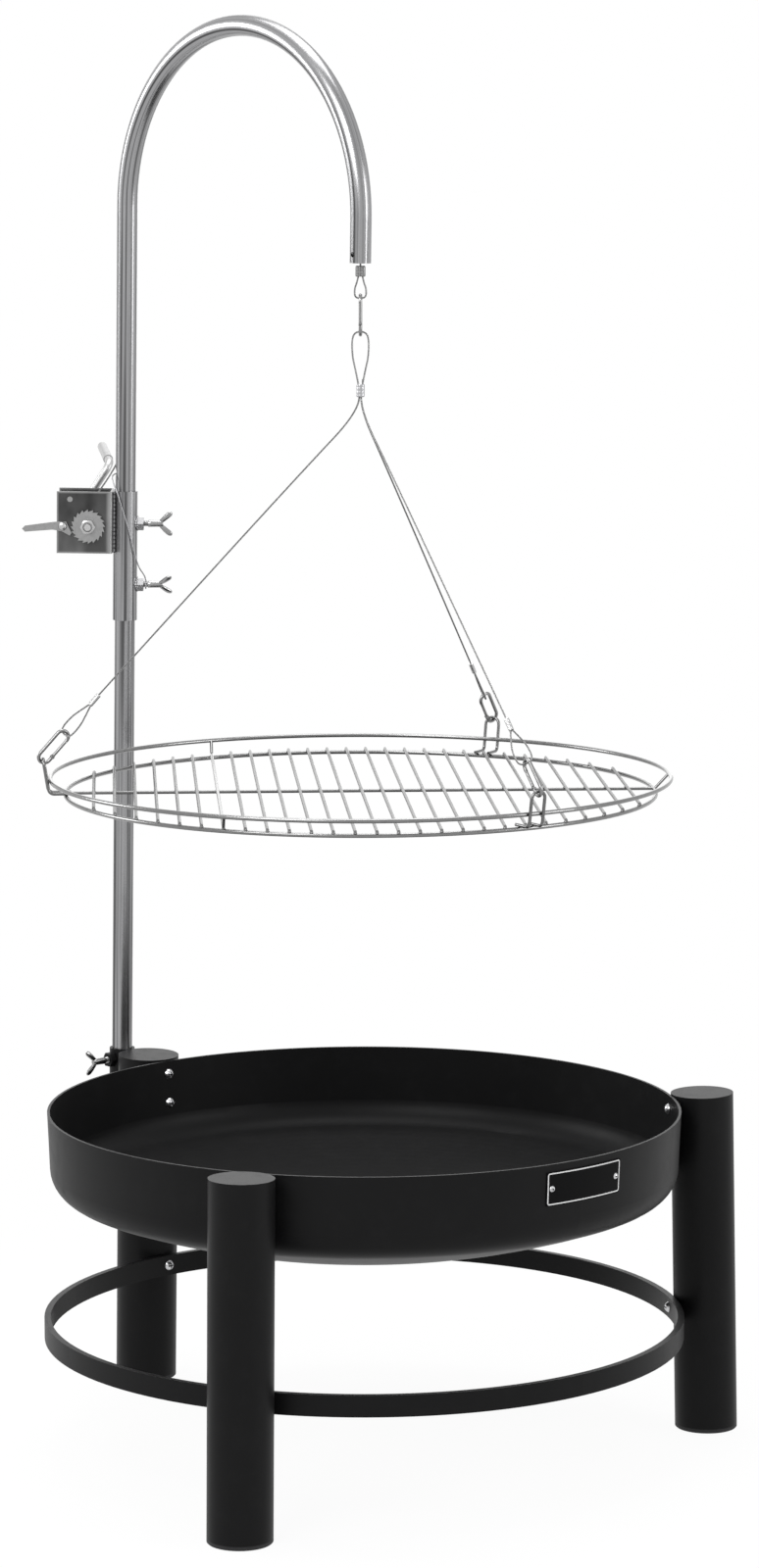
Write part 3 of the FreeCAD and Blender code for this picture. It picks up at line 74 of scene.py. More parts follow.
# the drum's axle from the mast's axis
AXLE = 0.0356
HANG_X = -0.005
LOOPS_TURN = math.radians(49.0)
LOOPS_SIDE = Vector((math.cos(LOOPS_TURN), math.sin(LOOPS_TURN), 0.0))
ARCH_LEVEL, ARCH_RADIUS = 1.173, 0.175056
CABLE_TOP, FERRULE_TOP, EYE_TOP = 1.15059, 1.12209, 1.11209
LOOP_BOTTOM, BRIDLE_FOOT = 1.01279, 1.00079
GRATE_LEVEL, GRATE_TURN = 0.6305, math.radians(-127.75)
GRATE = Matrix.Translation((HANG_X, 0.0, GRATE_LEVEL)) @ Matrix.Rotation(GRATE_TURN, 4, "Z")
# each hanging leg: the wire eye's start, the wire's way up, the eye's wide side and the wire's top
LEGS = {
    "left": ((-0.14608, -0.21113, 0.71601), (0.36877, 0.55190, 0.74794), (0.88176, 0.04690, -0.46935),
             (-0.00567, -0.00100, 1.00079)),
    "front": ((0.24605, -0.03815, 0.71601), (-0.65623, 0.09973, 0.74794), (-0.51927, -0.77887, -0.35174),
              (-0.00381, -0.00018, 1.00079)),
    "back": ((-0.10480, 0.23350, 0.71601), (0.26086, -0.61036, 0.74794), (0.81624, -0.27423, -0.50847),
             (-0.00547, 0.00110, 1.00079)),
}
CRIMP_LENGTH = 0.013
# each ferrule: half its width, half its depth, its length and how far its bands are pressed in, as a share
HOIST_FERRULE = (0.0047, 0.0027, FERRULE_TOP - EYE_TOP, 0.03)
BRIDLE_FERRULE = (0.0039, 0.0037, LOOP_BOTTOM - BRIDLE_FOOT, 0.04)
WIRE_FERRULE = (0.0025, 0.0023, CRIMP_LENGTH, 0.08)
# each wire loop: how far it reaches from its ferrule, half the gap of its strands there, and half its width
HOIST_EYE = (-0.020, 0.0020, 0.0050)
BRIDLE_LOOP = (0.0485, 0.0020, 0.0072)
WIRE_EYE = (-0.036, 0.0011, 0.0069)
# half a wire loop, from its ferrule to its round end, in shares of its half width and of its length
TEARDROP = ((0.62, 0.26), (1.06, 0.54), (1.08, 0.90), (0.52, 1.0))
# how a bridle wire bows below its straight line: shares of the way up, and metres down
BRIDLE_BOW = ((0.0, 0.0), (0.40, 0.004), (0.80, 0.009), (1.0, 0.013), (1.0, 0.0))
# where each screw's nut stands on its tube, and where its joint is, from the mast's axis
SOCKET_SEAT, SLEEVE_SEAT, SCREW_JOINT = 0.01256, 0.01206, 0.0165
NUT_ACROSS, NUT_HEIGHT = 0.013, 0.0065
# the way each wing screw's wings lie
WING_LAYS = {"socket": (-0.04794, -0.00243, 0.99885), "upper": (0.12661, -0.09131, 0.98774),
             "lower": (0.50171, -0.42171, 0.75528)}
# each leg's bolts: the set they belong to, their heads' distance from the bowl's axis, and their level
BOLT_ROWS = (("bowl", 0.29674, 0.315), ("bowl", 0.29552, 0.286), ("ring", 0.29828, 0.120))

# The studio's lamps, each with its name, place, size and share of the key lamp's power
LAMPS = (("key_lamp", (1.2, -4.0, 3.4), 2.6, 1.0), ("left_lamp", (-3.4, -2.4, 1.8), 1.6, 0.45),
         ("right_lamp", (3.6, 2.0, 1.6), 1.8, 0.35), ("back_lamp", (-3.2, 2.8, 1.4), 2.2, 0.09),
         ("top_lamp", (-0.6, 0.4, 4.2), 2.4, 0.7))
LAMPS_AIM = Vector((0.0, 0.0, 0.6))


# Shader building

class Signal:
    """A shader socket that Python arithmetic can use."""

    def __init__(self, finish, socket):
        self.finish = finish
        self.socket = socket

    def joined(self, operation, first, second):
        return self.finish.add("ShaderNodeMath", {"operation": operation}, {0: first, 1: second})

    def __add__(self, other):
        return self.joined("ADD", self, other)

    def __radd__(self, other):
        return self.joined("ADD", other, self)

    def __sub__(self, other):
        return self.joined("SUBTRACT", self, other)

    def __rsub__(self, other):
        return self.joined("SUBTRACT", other, self)

    def __mul__(self, other):
        return self.joined("MULTIPLY", self, other)

    def __rmul__(self, other):
        return self.joined("MULTIPLY", other, self)

    def __pow__(self, other):
        return self.joined("POWER", self, other)

    def above(self, other):
        return self.joined("MAXIMUM", self, other)

    def below(self, other):
        return self.joined("MINIMUM", self, other)


class Finish:
    """One procedural material and the nodes that make it."""

    def __init__(self, name, tree=None):
        self.material = None
        if tree is None:
            self.material = bpy.data.materials.new(name)
            self.material.use_nodes = True
            tree = self.material.node_tree
        self.tree = tree
        self.tree.nodes.clear()

    def add(self, kind, settings=None, inputs=None, output=0):
        """Add a node: its settings first, then the values or links of its sockets."""
        node = self.tree.nodes.new(kind)
        for name, setting in (settings or {}).items():
            setattr(node, name, setting)
        for name, given in (inputs or {}).items():
            if isinstance(given, Signal):
                self.tree.links.new(given.socket, node.inputs[name])
            else:
                node.inputs[name].default_value = given
        return Signal(self, node.outputs[output]) if node.outputs else None

    def place(self):
        return self.add("ShaderNodeTexCoord", output="Object")

    def place_in(self, turned):
        """Object coordinates as read in a turned and moved frame."""
        inputs = {"Vector": self.place(), "Location": turned.translation, "Rotation": turned.to_euler()}
        return self.add("ShaderNodeMapping", {"vector_type": "TEXTURE"}, inputs)

    def scaled(self, place, scale):
        return self.add("ShaderNodeMapping", {}, {"Vector": place, "Scale": scale})

    def axes(self, vector):
        """The three numbers of a vector."""
        outputs = self.add("ShaderNodeSeparateXYZ", {}, {0: vector}).socket.node.outputs
        return [Signal(self, output) for output in outputs]

    def noise(self, place, scale, detail=3.0, roughness=0.55):
        inputs = {"Vector": place, "Scale": scale, "Detail": detail, "Roughness": roughness}
        return self.add("ShaderNodeTexNoise", {}, inputs)

    def spread(self, signal, low, high):
        """Stretch the part of a signal between low and high over 0 to 1."""
        inputs = {"Value": signal, "From Min": low, "From Max": high}
        return self.add("ShaderNodeMapRange", {"clamp": True}, inputs)

    def mix(self, factor, first, second):
        pair = [colour if isinstance(colour, Signal) else (*colour, 1.0) for colour in (first, second)]
        inputs = {0: factor, 6: pair[0], 7: pair[1]}
        return self.add("ShaderNodeMix", {"data_type": "RGBA"}, inputs, output=2)

    def bump(self, height, strength, distance):
        inputs = {"Height": height, "Strength": strength, "Distance": distance}
        return self.add("ShaderNodeBump", {}, inputs)

    def surface(self, **sockets):
        """Finish with a principled shader; sockets are named with _ for each space."""
        inputs = {name.replace("_", " "): given for name, given in sockets.items()}
        return self.done(self.add("ShaderNodeBsdfPrincipled", {}, inputs))

    def done(self, shader, kind="Material"):
        """Link the last shader to the output."""
        self.add("ShaderNodeOutput" + kind, {}, {"Surface": shader})
        return self.material


def shade(colour, factor):
    """A colour made darker or lighter."""
    return tuple(channel * factor for channel in colour)


def powder_coat(name, coat, rings=False):
    """Satin black powder coat: a fine orange-peel grain, broad tone changes and a little dust."""
    finish = Finish(name)
    place = finish.place()
    broad = finish.noise(place, scale=7.0, detail=4.0)
    dust = finish.spread(finish.noise(place, scale=46.0, detail=8.0, roughness=0.7), low=0.5, high=0.8)
    grain = finish.noise(place, scale=coat.grain, detail=2.0)
    colour = finish.mix(broad, shade(coat.colour, 0.8), shade(coat.colour, 1.35))
    colour = finish.mix(dust * 0.25, colour, shade(coat.colour, 2.6))
    rough = coat.roughness - 0.05 + grain * 0.10 + dust * 0.06
    height = grain
    if rings:
        waves = {"wave_type": "RINGS", "rings_direction": "Z"}
        inputs = {"Vector": place, "Scale": 38.0, "Distortion": 0.6, "Detail": 3.0}
        spun = finish.add("ShaderNodeTexWave", waves, inputs, output=1)
        height = grain + spun * 0.35
        rough = rough + spun * 0.03
    normal = finish.bump(height, strength=0.10, distance=0.0004)
    return finish.surface(Base_Color=colour, Roughness=rough, Normal=normal, Specular_IOR_Level=coat.sheen)


def drawn_tube(name, tube):
    """Bright galvanised tube with lengthwise streaks that follow the gooseneck round its bend; its broad
    light and dark bands are painted reflections.
    """
    finish = Finish(name)
    x, y, z = finish.axes(finish.place_in(MAST))
    over = (z - ARCH_LEVEL).above(0.0)
    out = x - ARCH_RADIUS
    reach = (out * out + over * over) ** 0.5 - ARCH_RADIUS

    def streaks(across, along, detail):
        stretched = finish.add("ShaderNodeCombineXYZ", {}, {0: reach * across, 1: y * across, 2: z * along})
        return finish.noise(stretched, scale=1.0, detail=detail)

    # broad bands for the painted reflections: light and dark stripes along the tube
    bands = streaks(across=300.0, along=1.6, detail=2.0)
    hairlines = streaks(across=1200.0, along=7.0, detail=3.0)
    patches = finish.noise(finish.place(), scale=26.0, detail=6.0, roughness=0.65)
    dark = finish.spread(bands, low=0.45, high=0.60)
    scratched = finish.spread(hairlines, low=0.50, high=0.75)
    dull = finish.spread(patches, low=0.52, high=0.85)
    # painted reflections: the broad bands make the tube lighter or darker
    colour = finish.mix(dark, shade(tube.colour, 1.30), shade(tube.colour, 0.30))
    colour = finish.mix(scratched * 0.5, colour, shade(tube.colour, 0.40))
    colour = finish.mix(dull * 0.35, colour, shade(tube.colour, 0.8))
    rough = tube.roughness + bands * 0.12 + hairlines * 0.10
    normal = finish.bump(bands * 0.6 + hairlines * 0.4, strength=0.10, distance=0.0003)
    return finish.surface(Base_Color=colour, Metallic=1.0, Roughness=rough, Normal=normal)


def plated(name, metal, scale, wear=0.3, flow=(1.0, 1.0, 1.0), edge=1.0):
    """Plated metal: soft mottling, rubbing marks along flow and duller worn patches.

    An edge below 1 dims its shine at a grazing look.
    """
    finish = Finish(name)
    place = finish.place()
    mottle = finish.noise(place, scale, detail=5.0, roughness=0.6)
    marks = finish.noise(finish.scaled(place, flow), scale * 9.0, detail=3.0)
    patches = finish.noise(place, scale * 0.35, detail=6.0, roughness=0.65)
    worn = finish.spread(patches, low=0.55, high=0.8)
    colour = finish.mix(mottle, shade(metal.colour, 0.78), shade(metal.colour, 1.18))
    colour = finish.mix(worn * wear, colour, shade(metal.colour, 0.55))
    rough = metal.roughness + marks * 0.14 + worn * 0.10
    normal = finish.bump(marks * 0.6 + mottle * 0.4, strength=0.08, distance=0.0003)
    return finish.surface(Base_Color=colour, Metallic=1.0, Roughness=rough, Normal=normal,
                          Specular_Tint=(edge, edge, edge, 1.0))


def rolled_sheet(name, metal):
    """Dark rolled sheet: cloudy roller bands, with painted shade that makes it darker toward the top and
    paler toward its foot, and painted highlights along its edges and its bend.
    """
    left, right, foot, head = 0.0135, 0.0665, -0.027, 0.034
    finish = Finish(name)
    turned = finish.place_in(WINCH)
    x, _, z = finish.axes(turned)
    clouds = finish.noise(finish.scaled(turned, (1.0, 1.0, 0.5)), scale=42.0, detail=2.0)
    rolled = finish.noise(finish.scaled(turned, (1.0, 1.0, 12.0)), scale=240.0)
    # painted shade: the sheet is darker toward the top and paler toward its foot
    low = 1.0 - finish.spread(z, low=-0.026, high=0.020)
    tone = (finish.spread(clouds, low=0.36, high=0.66) * 0.6 + low * 0.4).below(1.0)
    colour = finish.mix(tone, shade(metal.colour, 0.55), shade(metal.colour, 1.75))
    # distance inside the cheek's outline, in metres
    inside = (x - left).below(right - x).below(z - foot).below(head - z)
    # painted highlights along the cheek's edges and along the bend by the sleeve
    edge_highlight = 1.0 - finish.spread(inside, low=0.0004, high=0.0022)
    bend = 1.0 - finish.spread(x, low=0.0150, high=0.0185)
    # the painted highlights brighten the edges and the bend
    colour = finish.mix(edge_highlight.above(bend) * (0.45 + clouds * 0.4), colour, shade(metal.colour, 5.0))
    rough = metal.roughness + rolled * 0.14 + clouds * 0.08
    normal = finish.bump(rolled, strength=0.08, distance=0.0003)
    return finish.surface(Base_Color=colour, Metallic=1.0, Roughness=rough, Normal=normal)


def moulded_plastic(name, colour):
    """Black plastic with a moulded grain and pale scuffs."""
    finish = Finish(name)
    place = finish.place()
    grain = finish.noise(place, scale=900.0)
    scuffs = finish.spread(finish.noise(place, scale=60.0, detail=6.0, roughness=0.7), low=0.5, high=0.8)
    tone = finish.mix(scuffs * 0.4, colour, shade(colour, 2.2))
    normal = finish.bump(grain, strength=0.2, distance=0.0004)
    return finish.surface(Base_Color=tone, Roughness=0.55 + grain * 0.15, Normal=normal,
                          Specular_IOR_Level=0.3)


def enamel(name, colour, roughness, sheen):
    """Baked paint on the plate, faintly clouded and brushed."""
    finish = Finish(name)
    place = finish.place()
    cloud = finish.noise(place, scale=120.0, detail=5.0, roughness=0.6)
    brushed = finish.noise(finish.scaled(place, (1.0, 1.0, 14.0)), scale=300.0)
    tone = finish.mix(cloud, shade(colour, 0.85), shade(colour, 1.1))
    normal = finish.bump(brushed, strength=0.08, distance=0.0002)
    return finish.surface(Base_Color=tone, Roughness=roughness + cloud * 0.12, Normal=normal,
                          Specular_IOR_Level=sheen)


def dress(material, *names):
    """Give carried-over solids their finish."""
    for name in names:
        solid = NODES[name]
        if not solid.material_slots:
            solid.data.materials.append(material)
        for holder in solid.material_slots:
            holder.material = material


# Mesh building

class Shape:
    """Points and faces gathered for one piece."""

    def __init__(self):
        self.points = []
        self.faces = []
        self.sunk = set()

    def rings(self, rings, place=Matrix(), ends=True):
        """Skin a row of rings that have the same number of points."""
        first = len(self.points)
        count = len(rings[0])
        for ring in rings:
            self.points += [place @ Vector(point) for point in ring]
        for row in range(len(rings) - 1):
            low = first + row * count
            for step in range(count):
                after = (step + 1) % count
                self.faces.append((low + step, low + after, low + count + after, low + count + step))
        if ends:
            self.faces.append(tuple(reversed(range(first, first + count))))
            last = first + (len(rings) - 1) * count
            self.faces.append(tuple(range(last, last + count)))

    def lathe(self, profile, place=Matrix(), segments=24):
        """Turn a profile of (height, radius) about Z."""
        turns = [2.0 * math.pi * step / segments for step in range(segments)]
        self.rings([[(radius * math.cos(a), radius * math.sin(a), height) for a in turns]
                    for height, radius in profile], place)

    def piece(self, name, material, body, slot, stands_for=(), crisp=40.0, sunk=None):
        """Make the object, tied to its body, and hide the nodes it stands for; faces in a recess take the
        sunk finish. The slot is not used.
        """
        mesh = bpy.data.meshes.new(name)
        mesh.from_pydata(self.points, [], self.faces)
        tidy = bmesh.new()
        tidy.from_mesh(mesh)
        bmesh.ops.recalc_face_normals(tidy, faces=tidy.faces)
        tidy.to_mesh(mesh)
        tidy.free()
        mesh.shade_smooth()
        mesh.set_sharp_from_angle(angle=math.radians(crisp))
        mesh.materials.append(material)
        # the sunk finish is painted shade on the faces inside a recess
        if sunk:
            mesh.materials.append(sunk)
            for index in self.sunk:
                mesh.polygons[index].material_index = 1
        made = bpy.data.objects.new(name, mesh)
        bpy.context.scene.collection.objects.link(made)
        if body:
            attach(made, body)
        if stands_for:
            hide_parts(*stands_for)
        return made


def facing(origin, along, side=None):
    """A frame at origin whose Z runs along, and whose X is near side."""
    z = Vector(along).normalized()
    hint = Vector(side) if side is not None else (UP if abs(z.z) < 0.9 else Vector((1.0, 0.0, 0.0)))
    x = (hint - z * hint.dot(z)).normalized()
    y = z.cross(x)
    turn = Matrix((x, y, z)).transposed().to_4x4()
    return Matrix.Translation(origin) @ turn


def smooth_line(points):
    """Points along a smooth spline through a route's control points."""
    curve = bpy.data.curves.new("route", "CURVE")
    curve.dimensions = "3D"
    spline = curve.splines.new("NURBS")
    spline.points.add(len(points) - 1)
    for holder, point in zip(spline.points, points):
        holder.co = (*point, 1.0)
    spline.order_u = 3
    spline.use_endpoint_u = True
    spline.resolution_u = 10
    route = bpy.data.objects.new("route", curve)
    mesh = bpy.data.meshes.new_from_object(route)
    line = [vertex.co.copy() for vertex in mesh.vertices]
    bpy.data.objects.remove(route)
    bpy.data.curves.remove(curve)
    bpy.data.meshes.remove(mesh)
    return line


def even_steps(line, step):
    """The same line in even steps."""
    lengths = [0.0]
    for before, after in zip(line, line[1:]):
        lengths.append(lengths[-1] + (after - before).length)
    count = max(2, round(lengths[-1] / step))
    points, index = [], 0
    for number in range(count + 1):
        target = lengths[-1] * number / count
        while index < len(line) - 2 and lengths[index + 1] < target:
            index += 1
        gap = lengths[index + 1] - lengths[index]
        share = (target - lengths[index]) / gap if gap > 0 else 0.0
        points.append(line[index].lerp(line[index + 1], share))
    return points


def strand_rope(shape, line, radius, rope):
    """Twisted outer strands round a core, along a line."""
    strands, sides, steps = rope.strands, 5, 8.0
    slim = math.sin(math.pi / strands)
    thin = radius * slim / (1.0 + slim)
    orbit = radius - thin
    points = even_steps(line, rope.lay / steps)
    tangents = [(after - before).normalized() for before, after in zip(points, points[1:])]
    tangents.append(tangents[-1].copy())
    across = tangents[0].orthogonal().normalized()
    frames, walked = [], 0.0
    for index, (point, tangent) in enumerate(zip(points, tangents)):
        across = (across - tangent * across.dot(tangent)).normalized()
        if index:
            walked += (point - points[index - 1]).length
        frames.append((point, across.copy(), tangent.cross(across), 2.0 * math.pi * walked / rope.lay))
    rim = [2.0 * math.pi * side / sides for side in range(sides)]
    for strand in range(strands):
        rings = []
        for point, side, other, twist in frames:
            angle = twist + 2.0 * math.pi * strand / strands
            outward = side * math.cos(angle) + other * math.sin(angle)
            sideways = other * math.cos(angle) - side * math.sin(angle)
            centre = point + outward * orbit
            rings.append([centre + (outward * math.cos(a) + sideways * math.sin(a)) * thin for a in rim])
        shape.rings(rings)
    core = orbit - thin / 2.0
    shape.rings([[point + (side * math.cos(a) + other * math.sin(a)) * core for a in rim]
                 for point, side, other, _ in frames])


def loop_route(start, way, side, length, gap, half_width):
    """Control points of a wire loop whose two strands leave start side by side."""
    half = [(gap, 0.0)] + [(half_width * wide, length * far) for wide, far in TEARDROP]
    whole = half + [(-wide, far) for wide, far in reversed(half)]
    start, way, side = Vector(start), Vector(way).normalized(), Vector(side).normalized()
    return [start + side * wide + way * far for wide, far in whole]


def tether_route():
    """The thin wire from the mast's cable hole, round the sleeve, to a turn on the lower wing screw."""
    hole, screw = 0.052, -0.059
    inside, outside, clear, beside = 0.009, 0.01476, 0.00405, -0.02056
    # turn round the mast in degrees, distance from its axis and share of the way down
    stations = ((16.0, inside, 0.01), (16.0, outside, 0.02), (40.0, outside, 0.10), (60.0, outside, 0.18),
                (106.0, outside, 0.50), (148.0, outside, 0.83))
    flat = []
    for angle, radius, share in stations:
        swing = math.radians(angle)
        flat.append((radius * math.cos(swing), radius * math.sin(swing), hole + share * (screw - hole)))
    flat += [(beside, clear, screw + 2.0 * clear), (beside, clear, screw), (beside, clear, screw - clear),
             (beside, -clear, screw - clear), (beside, -clear, screw + clear), (beside, 0.0, screw + clear)]
    return [WINCH @ Vector(point) for point in flat]


def winding_route():
    """The cable's loops on the drum, up to where it leaves for the mast."""
    radius, pitch, loops, per_loop = 0.01267, 0.0025, 7, 12
    leaving, end = math.radians(38.838), 0.0045
    # the spline keeps this share of the radius that its control points have
    kept = 0.966
    outer = radius / kept
    route = []
    for step in range(loops * per_loop + 1):
        angle = leaving - 2.0 * math.pi * (loops - step / per_loop)
        climb = end + (angle - leaving) / (2.0 * math.pi) * pitch
        route.append(WINCH @ Vector((AXLE + outer * math.cos(angle), climb, outer * math.sin(angle))))
    return route


def mast_cable_route():
    """The hoist cable from beside the drum, in at the mast's hole and along the gooseneck to its end."""
    entry = ((-0.38341, -0.03301, 0.87374), (-0.35960, 0.0, 0.92270), (-0.35850, 0.0, 0.975),
             (-0.35524, 0.0, 1.125))
    mouth = (-0.00443, 0.0, 1.15089)
    corners = 6
    step = math.pi / corners
    outer = ARCH_RADIUS / math.cos(step / 2.0)
    arch = []
    for index in range(corners):
        angle = step * (index + 0.5)
        arch.append(MAST @ Vector((ARCH_RADIUS - outer * math.cos(angle), 0.0,
                                   ARCH_LEVEL + outer * math.sin(angle))))
    return [Vector(point) for point in entry] + arch + [Vector(mouth)]


# Settings that a user would change

COLOUR = {"subtype": "COLOR", "size": 3, "min": 0.0, "max": 1.0}


class BRAZIER_PG_coat(PropertyGroup):
    colour: FloatVectorProperty(
        name="Colour", description="Colour of the powder coat", default=(0.0045, 0.0045, 0.0047), **COLOUR)
    roughness: FloatProperty(
        name="Roughness", description="Satin of the powder coat", default=0.42, min=0.05, max=1.0)
    sheen: FloatProperty(
        name="Sheen", description="Strength of the coat's reflections", default=0.10, min=0.0, max=1.0)
    grain: FloatProperty(
        name="Grain", description="Orange-peel grains per metre", default=1300.0, min=100.0)
    plastic: FloatVectorProperty(
        name="Foot plastic", description="Colour of the foot plugs", default=(0.010, 0.010, 0.0105), **COLOUR)


class BRAZIER_PG_metal(PropertyGroup):
    colour: FloatVectorProperty(
        name="Colour", description="Colour of the bare metal", default=(0.50, 0.50, 0.50), **COLOUR)
    roughness: FloatProperty(
        name="Roughness", description="Least roughness of the metal", default=0.22, min=0.02, max=1.0)


class BRAZIER_PG_rope(PropertyGroup):
    radius: FloatProperty(
        name="Cable radius", description="Radius of the hoist and bridle cables", default=0.0009,
        unit="LENGTH")
    thin: FloatProperty(
        name="Tether radius", description="Radius of the tether wire", default=0.00075, unit="LENGTH")
    strands: IntProperty(name="Strands", description="Outer strands of a cable", default=6, min=3, max=9)
    lay: FloatProperty(
        name="Lay", description="Length of one twist of the strands", default=0.011, unit="LENGTH")


class BRAZIER_PG_screw(PropertyGroup):
    shank: FloatProperty(
        name="Shank radius", description="Outer radius of the thread", default=0.003, unit="LENGTH")
    pitch: FloatProperty(
        name="Pitch", description="Distance between two threads", default=0.001, unit="LENGTH")
    thread_show: FloatProperty(
        name="Thread show", description="Thread seen between nut and collar", default=0.004, unit="LENGTH")
    collar: FloatProperty(
        name="Collar radius", description="Radius of the wing screw's collar", default=0.0035, unit="LENGTH")
    collar_length: FloatProperty(
        name="Collar length", description="Length of the wing screw's collar", default=0.015, unit="LENGTH")
    wing_span: FloatProperty(
        name="Wing span", description="Width over both wings", default=0.023, unit="LENGTH")
    wing_reach: FloatProperty(
        name="Wing reach", description="How far the wings stand out", default=0.0085, unit="LENGTH")
    bolt_head: FloatProperty(
        name="Bolt head radius", description="Radius of the domed bolt heads", default=0.0052, unit="LENGTH")
    bolt_height: FloatProperty(
        name="Bolt head height", description="Height of the domed bolt heads", default=0.0035, unit="LENGTH")


class BRAZIER_PG_plate(PropertyGroup):
    field: FloatVectorProperty(
        name="Field", description="Colour of the bare plate", default=(0.004, 0.004, 0.0042), **COLOUR)
    border: FloatVectorProperty(
        name="Border", description="Colour of the plate's border", default=(0.62, 0.62, 0.62), **COLOUR)
    border_width: FloatProperty(
        name="Border width", description="Width of the raised border", default=0.0012, unit="LENGTH")
    border_inset: FloatProperty(
        name="Border inset", description="Distance from the plate's edge to the border", default=0.0007,
        unit="LENGTH")


class BRAZIER_PG_stage(PropertyGroup):
    lens: FloatProperty(
        name="Lens", description="Focal length of the camera", default=111.4, subtype="DISTANCE_CAMERA")
    azimuth: FloatProperty(
        name="Azimuth", description="Camera's place round the bowl, from +X", default=math.radians(-40.95),
        subtype="ANGLE")
    distance: FloatProperty(
        name="Distance", description="Camera's level distance from the bowl's axis", default=4.512,
        unit="LENGTH")
    sideways: FloatProperty(
        name="Sideways", description="Camera's shift to its right", default=0.0144, unit="LENGTH")
    height: FloatProperty(
        name="Height", description="Camera's height over the floor", default=1.2769, unit="LENGTH")
    pitch: FloatProperty(
        name="Pitch", description="How far the camera looks down", default=math.radians(8.06),
        subtype="ANGLE")
    floor: FloatVectorProperty(
        name="Floor", description="Colour of the floor", default=(0.90, 0.90, 0.90), **COLOUR)
    shadow: FloatProperty(
        name="Shadow", description="Share of the floor that shows shadow", default=0.06, min=0.0, max=1.0)
    ambient: FloatProperty(name="Ambient", description="Light from all round", default=0.45, min=0.0)
    key: FloatProperty(name="Key light", description="Power of the main lamp", default=150.0, subtype="POWER")


# Operators

class BRAZIER_OT_stage(Operator):
    """Camera, lamps, pale floor and white surroundings"""
    bl_idname = "brazier.stage"
    bl_label = "Stage"

    def execute(self, context):
        stage = context.scene.brazier_stage
        self.add_camera(context, stage)
        self.add_world(context, stage)
        self.add_floor(context, stage)
        for name, spot, size, share in LAMPS:
            lamp = bpy.data.lights.new(name, "AREA")
            lamp.shape = "SQUARE"
            lamp.size = size
            lamp.energy = stage.key * share
            holder = bpy.data.objects.new(name, lamp)
            holder.location = spot
            holder.rotation_euler = (LAMPS_AIM - Vector(spot)).to_track_quat("-Z", "Y").to_euler()
            context.scene.collection.objects.link(holder)
        context.scene.view_settings.view_transform = "Standard"
        return {"FINISHED"}

    def add_camera(self, context, stage):
        camera = bpy.data.cameras.new("camera")
        camera.lens = stage.lens
        camera.sensor_width = 36.0
        camera.clip_end = 50.0
        holder = bpy.data.objects.new("camera", camera)
        out = Vector((math.cos(stage.azimuth), math.sin(stage.azimuth), 0.0))
        right = Vector((-out.y, out.x, 0.0))
        holder.location = out * stage.distance + right * stage.sideways + UP * stage.height
        look = -out * math.cos(stage.pitch) - UP * math.sin(stage.pitch)
        holder.rotation_euler = look.to_track_quat("-Z", "Y").to_euler()
        context.scene.collection.objects.link(holder)
        context.scene.camera = holder

    def seen(self, finish):
        """1 for what the camera sees directly, mirrored or through glass."""
        path = finish.add("ShaderNodeLightPath").socket.node.outputs
        direct, mirrored, through = (
            Signal(finish, path["Is %s Ray" % kind]) for kind in ("Camera", "Glossy", "Transmission"))
        return direct.above(mirrored).above(through)

    def add_world(self, context, stage):
        world = bpy.data.worlds.new("surroundings")
        world.use_nodes = True
        finish = Finish("surroundings", world.node_tree)
        seen = self.seen(finish)
        strength = seen + (1.0 - seen) * stage.ambient
        light = finish.add("ShaderNodeBackground", {}, {"Color": WHITE, "Strength": strength})
        finish.done(light, "World")
        context.scene.world = world

    def add_floor(self, context, stage):
        half, shadow_near, shadow_far = 14.0, 0.3, 0.95
        finish = Finish("floor_paper")
        place = finish.place()
        tooth = finish.noise(place, scale=240.0)
        tone = finish.mix(tooth, shade(stage.floor, 0.98), stage.floor)
        paper = finish.add("ShaderNodeBsdfDiffuse", {}, {"Color": tone})
        white = finish.add("ShaderNodeEmission", {}, {"Color": WHITE, "Strength": 1.0})
        away = finish.add("ShaderNodeVectorMath", {"operation": "LENGTH"}, {0: place}, output="Value")
        shown = (1.0 - finish.spread(away, shadow_near, shadow_far)) * stage.shadow
        share = self.seen(finish) * (1.0 - shown)
        finish.done(finish.add("ShaderNodeMixShader", {}, {0: share, 1: paper, 2: white}))
        mesh = bpy.data.meshes.new("floor")
        corners = [(x * half, y * half, 0.0) for x, y in ((-1, -1), (1, -1), (1, 1), (-1, 1))]
        mesh.from_pydata(corners, [], [(0, 1, 2, 3)])
        mesh.materials.append(finish.material)
        floor = bpy.data.objects.new("floor", mesh)
        context.scene.collection.objects.link(floor)


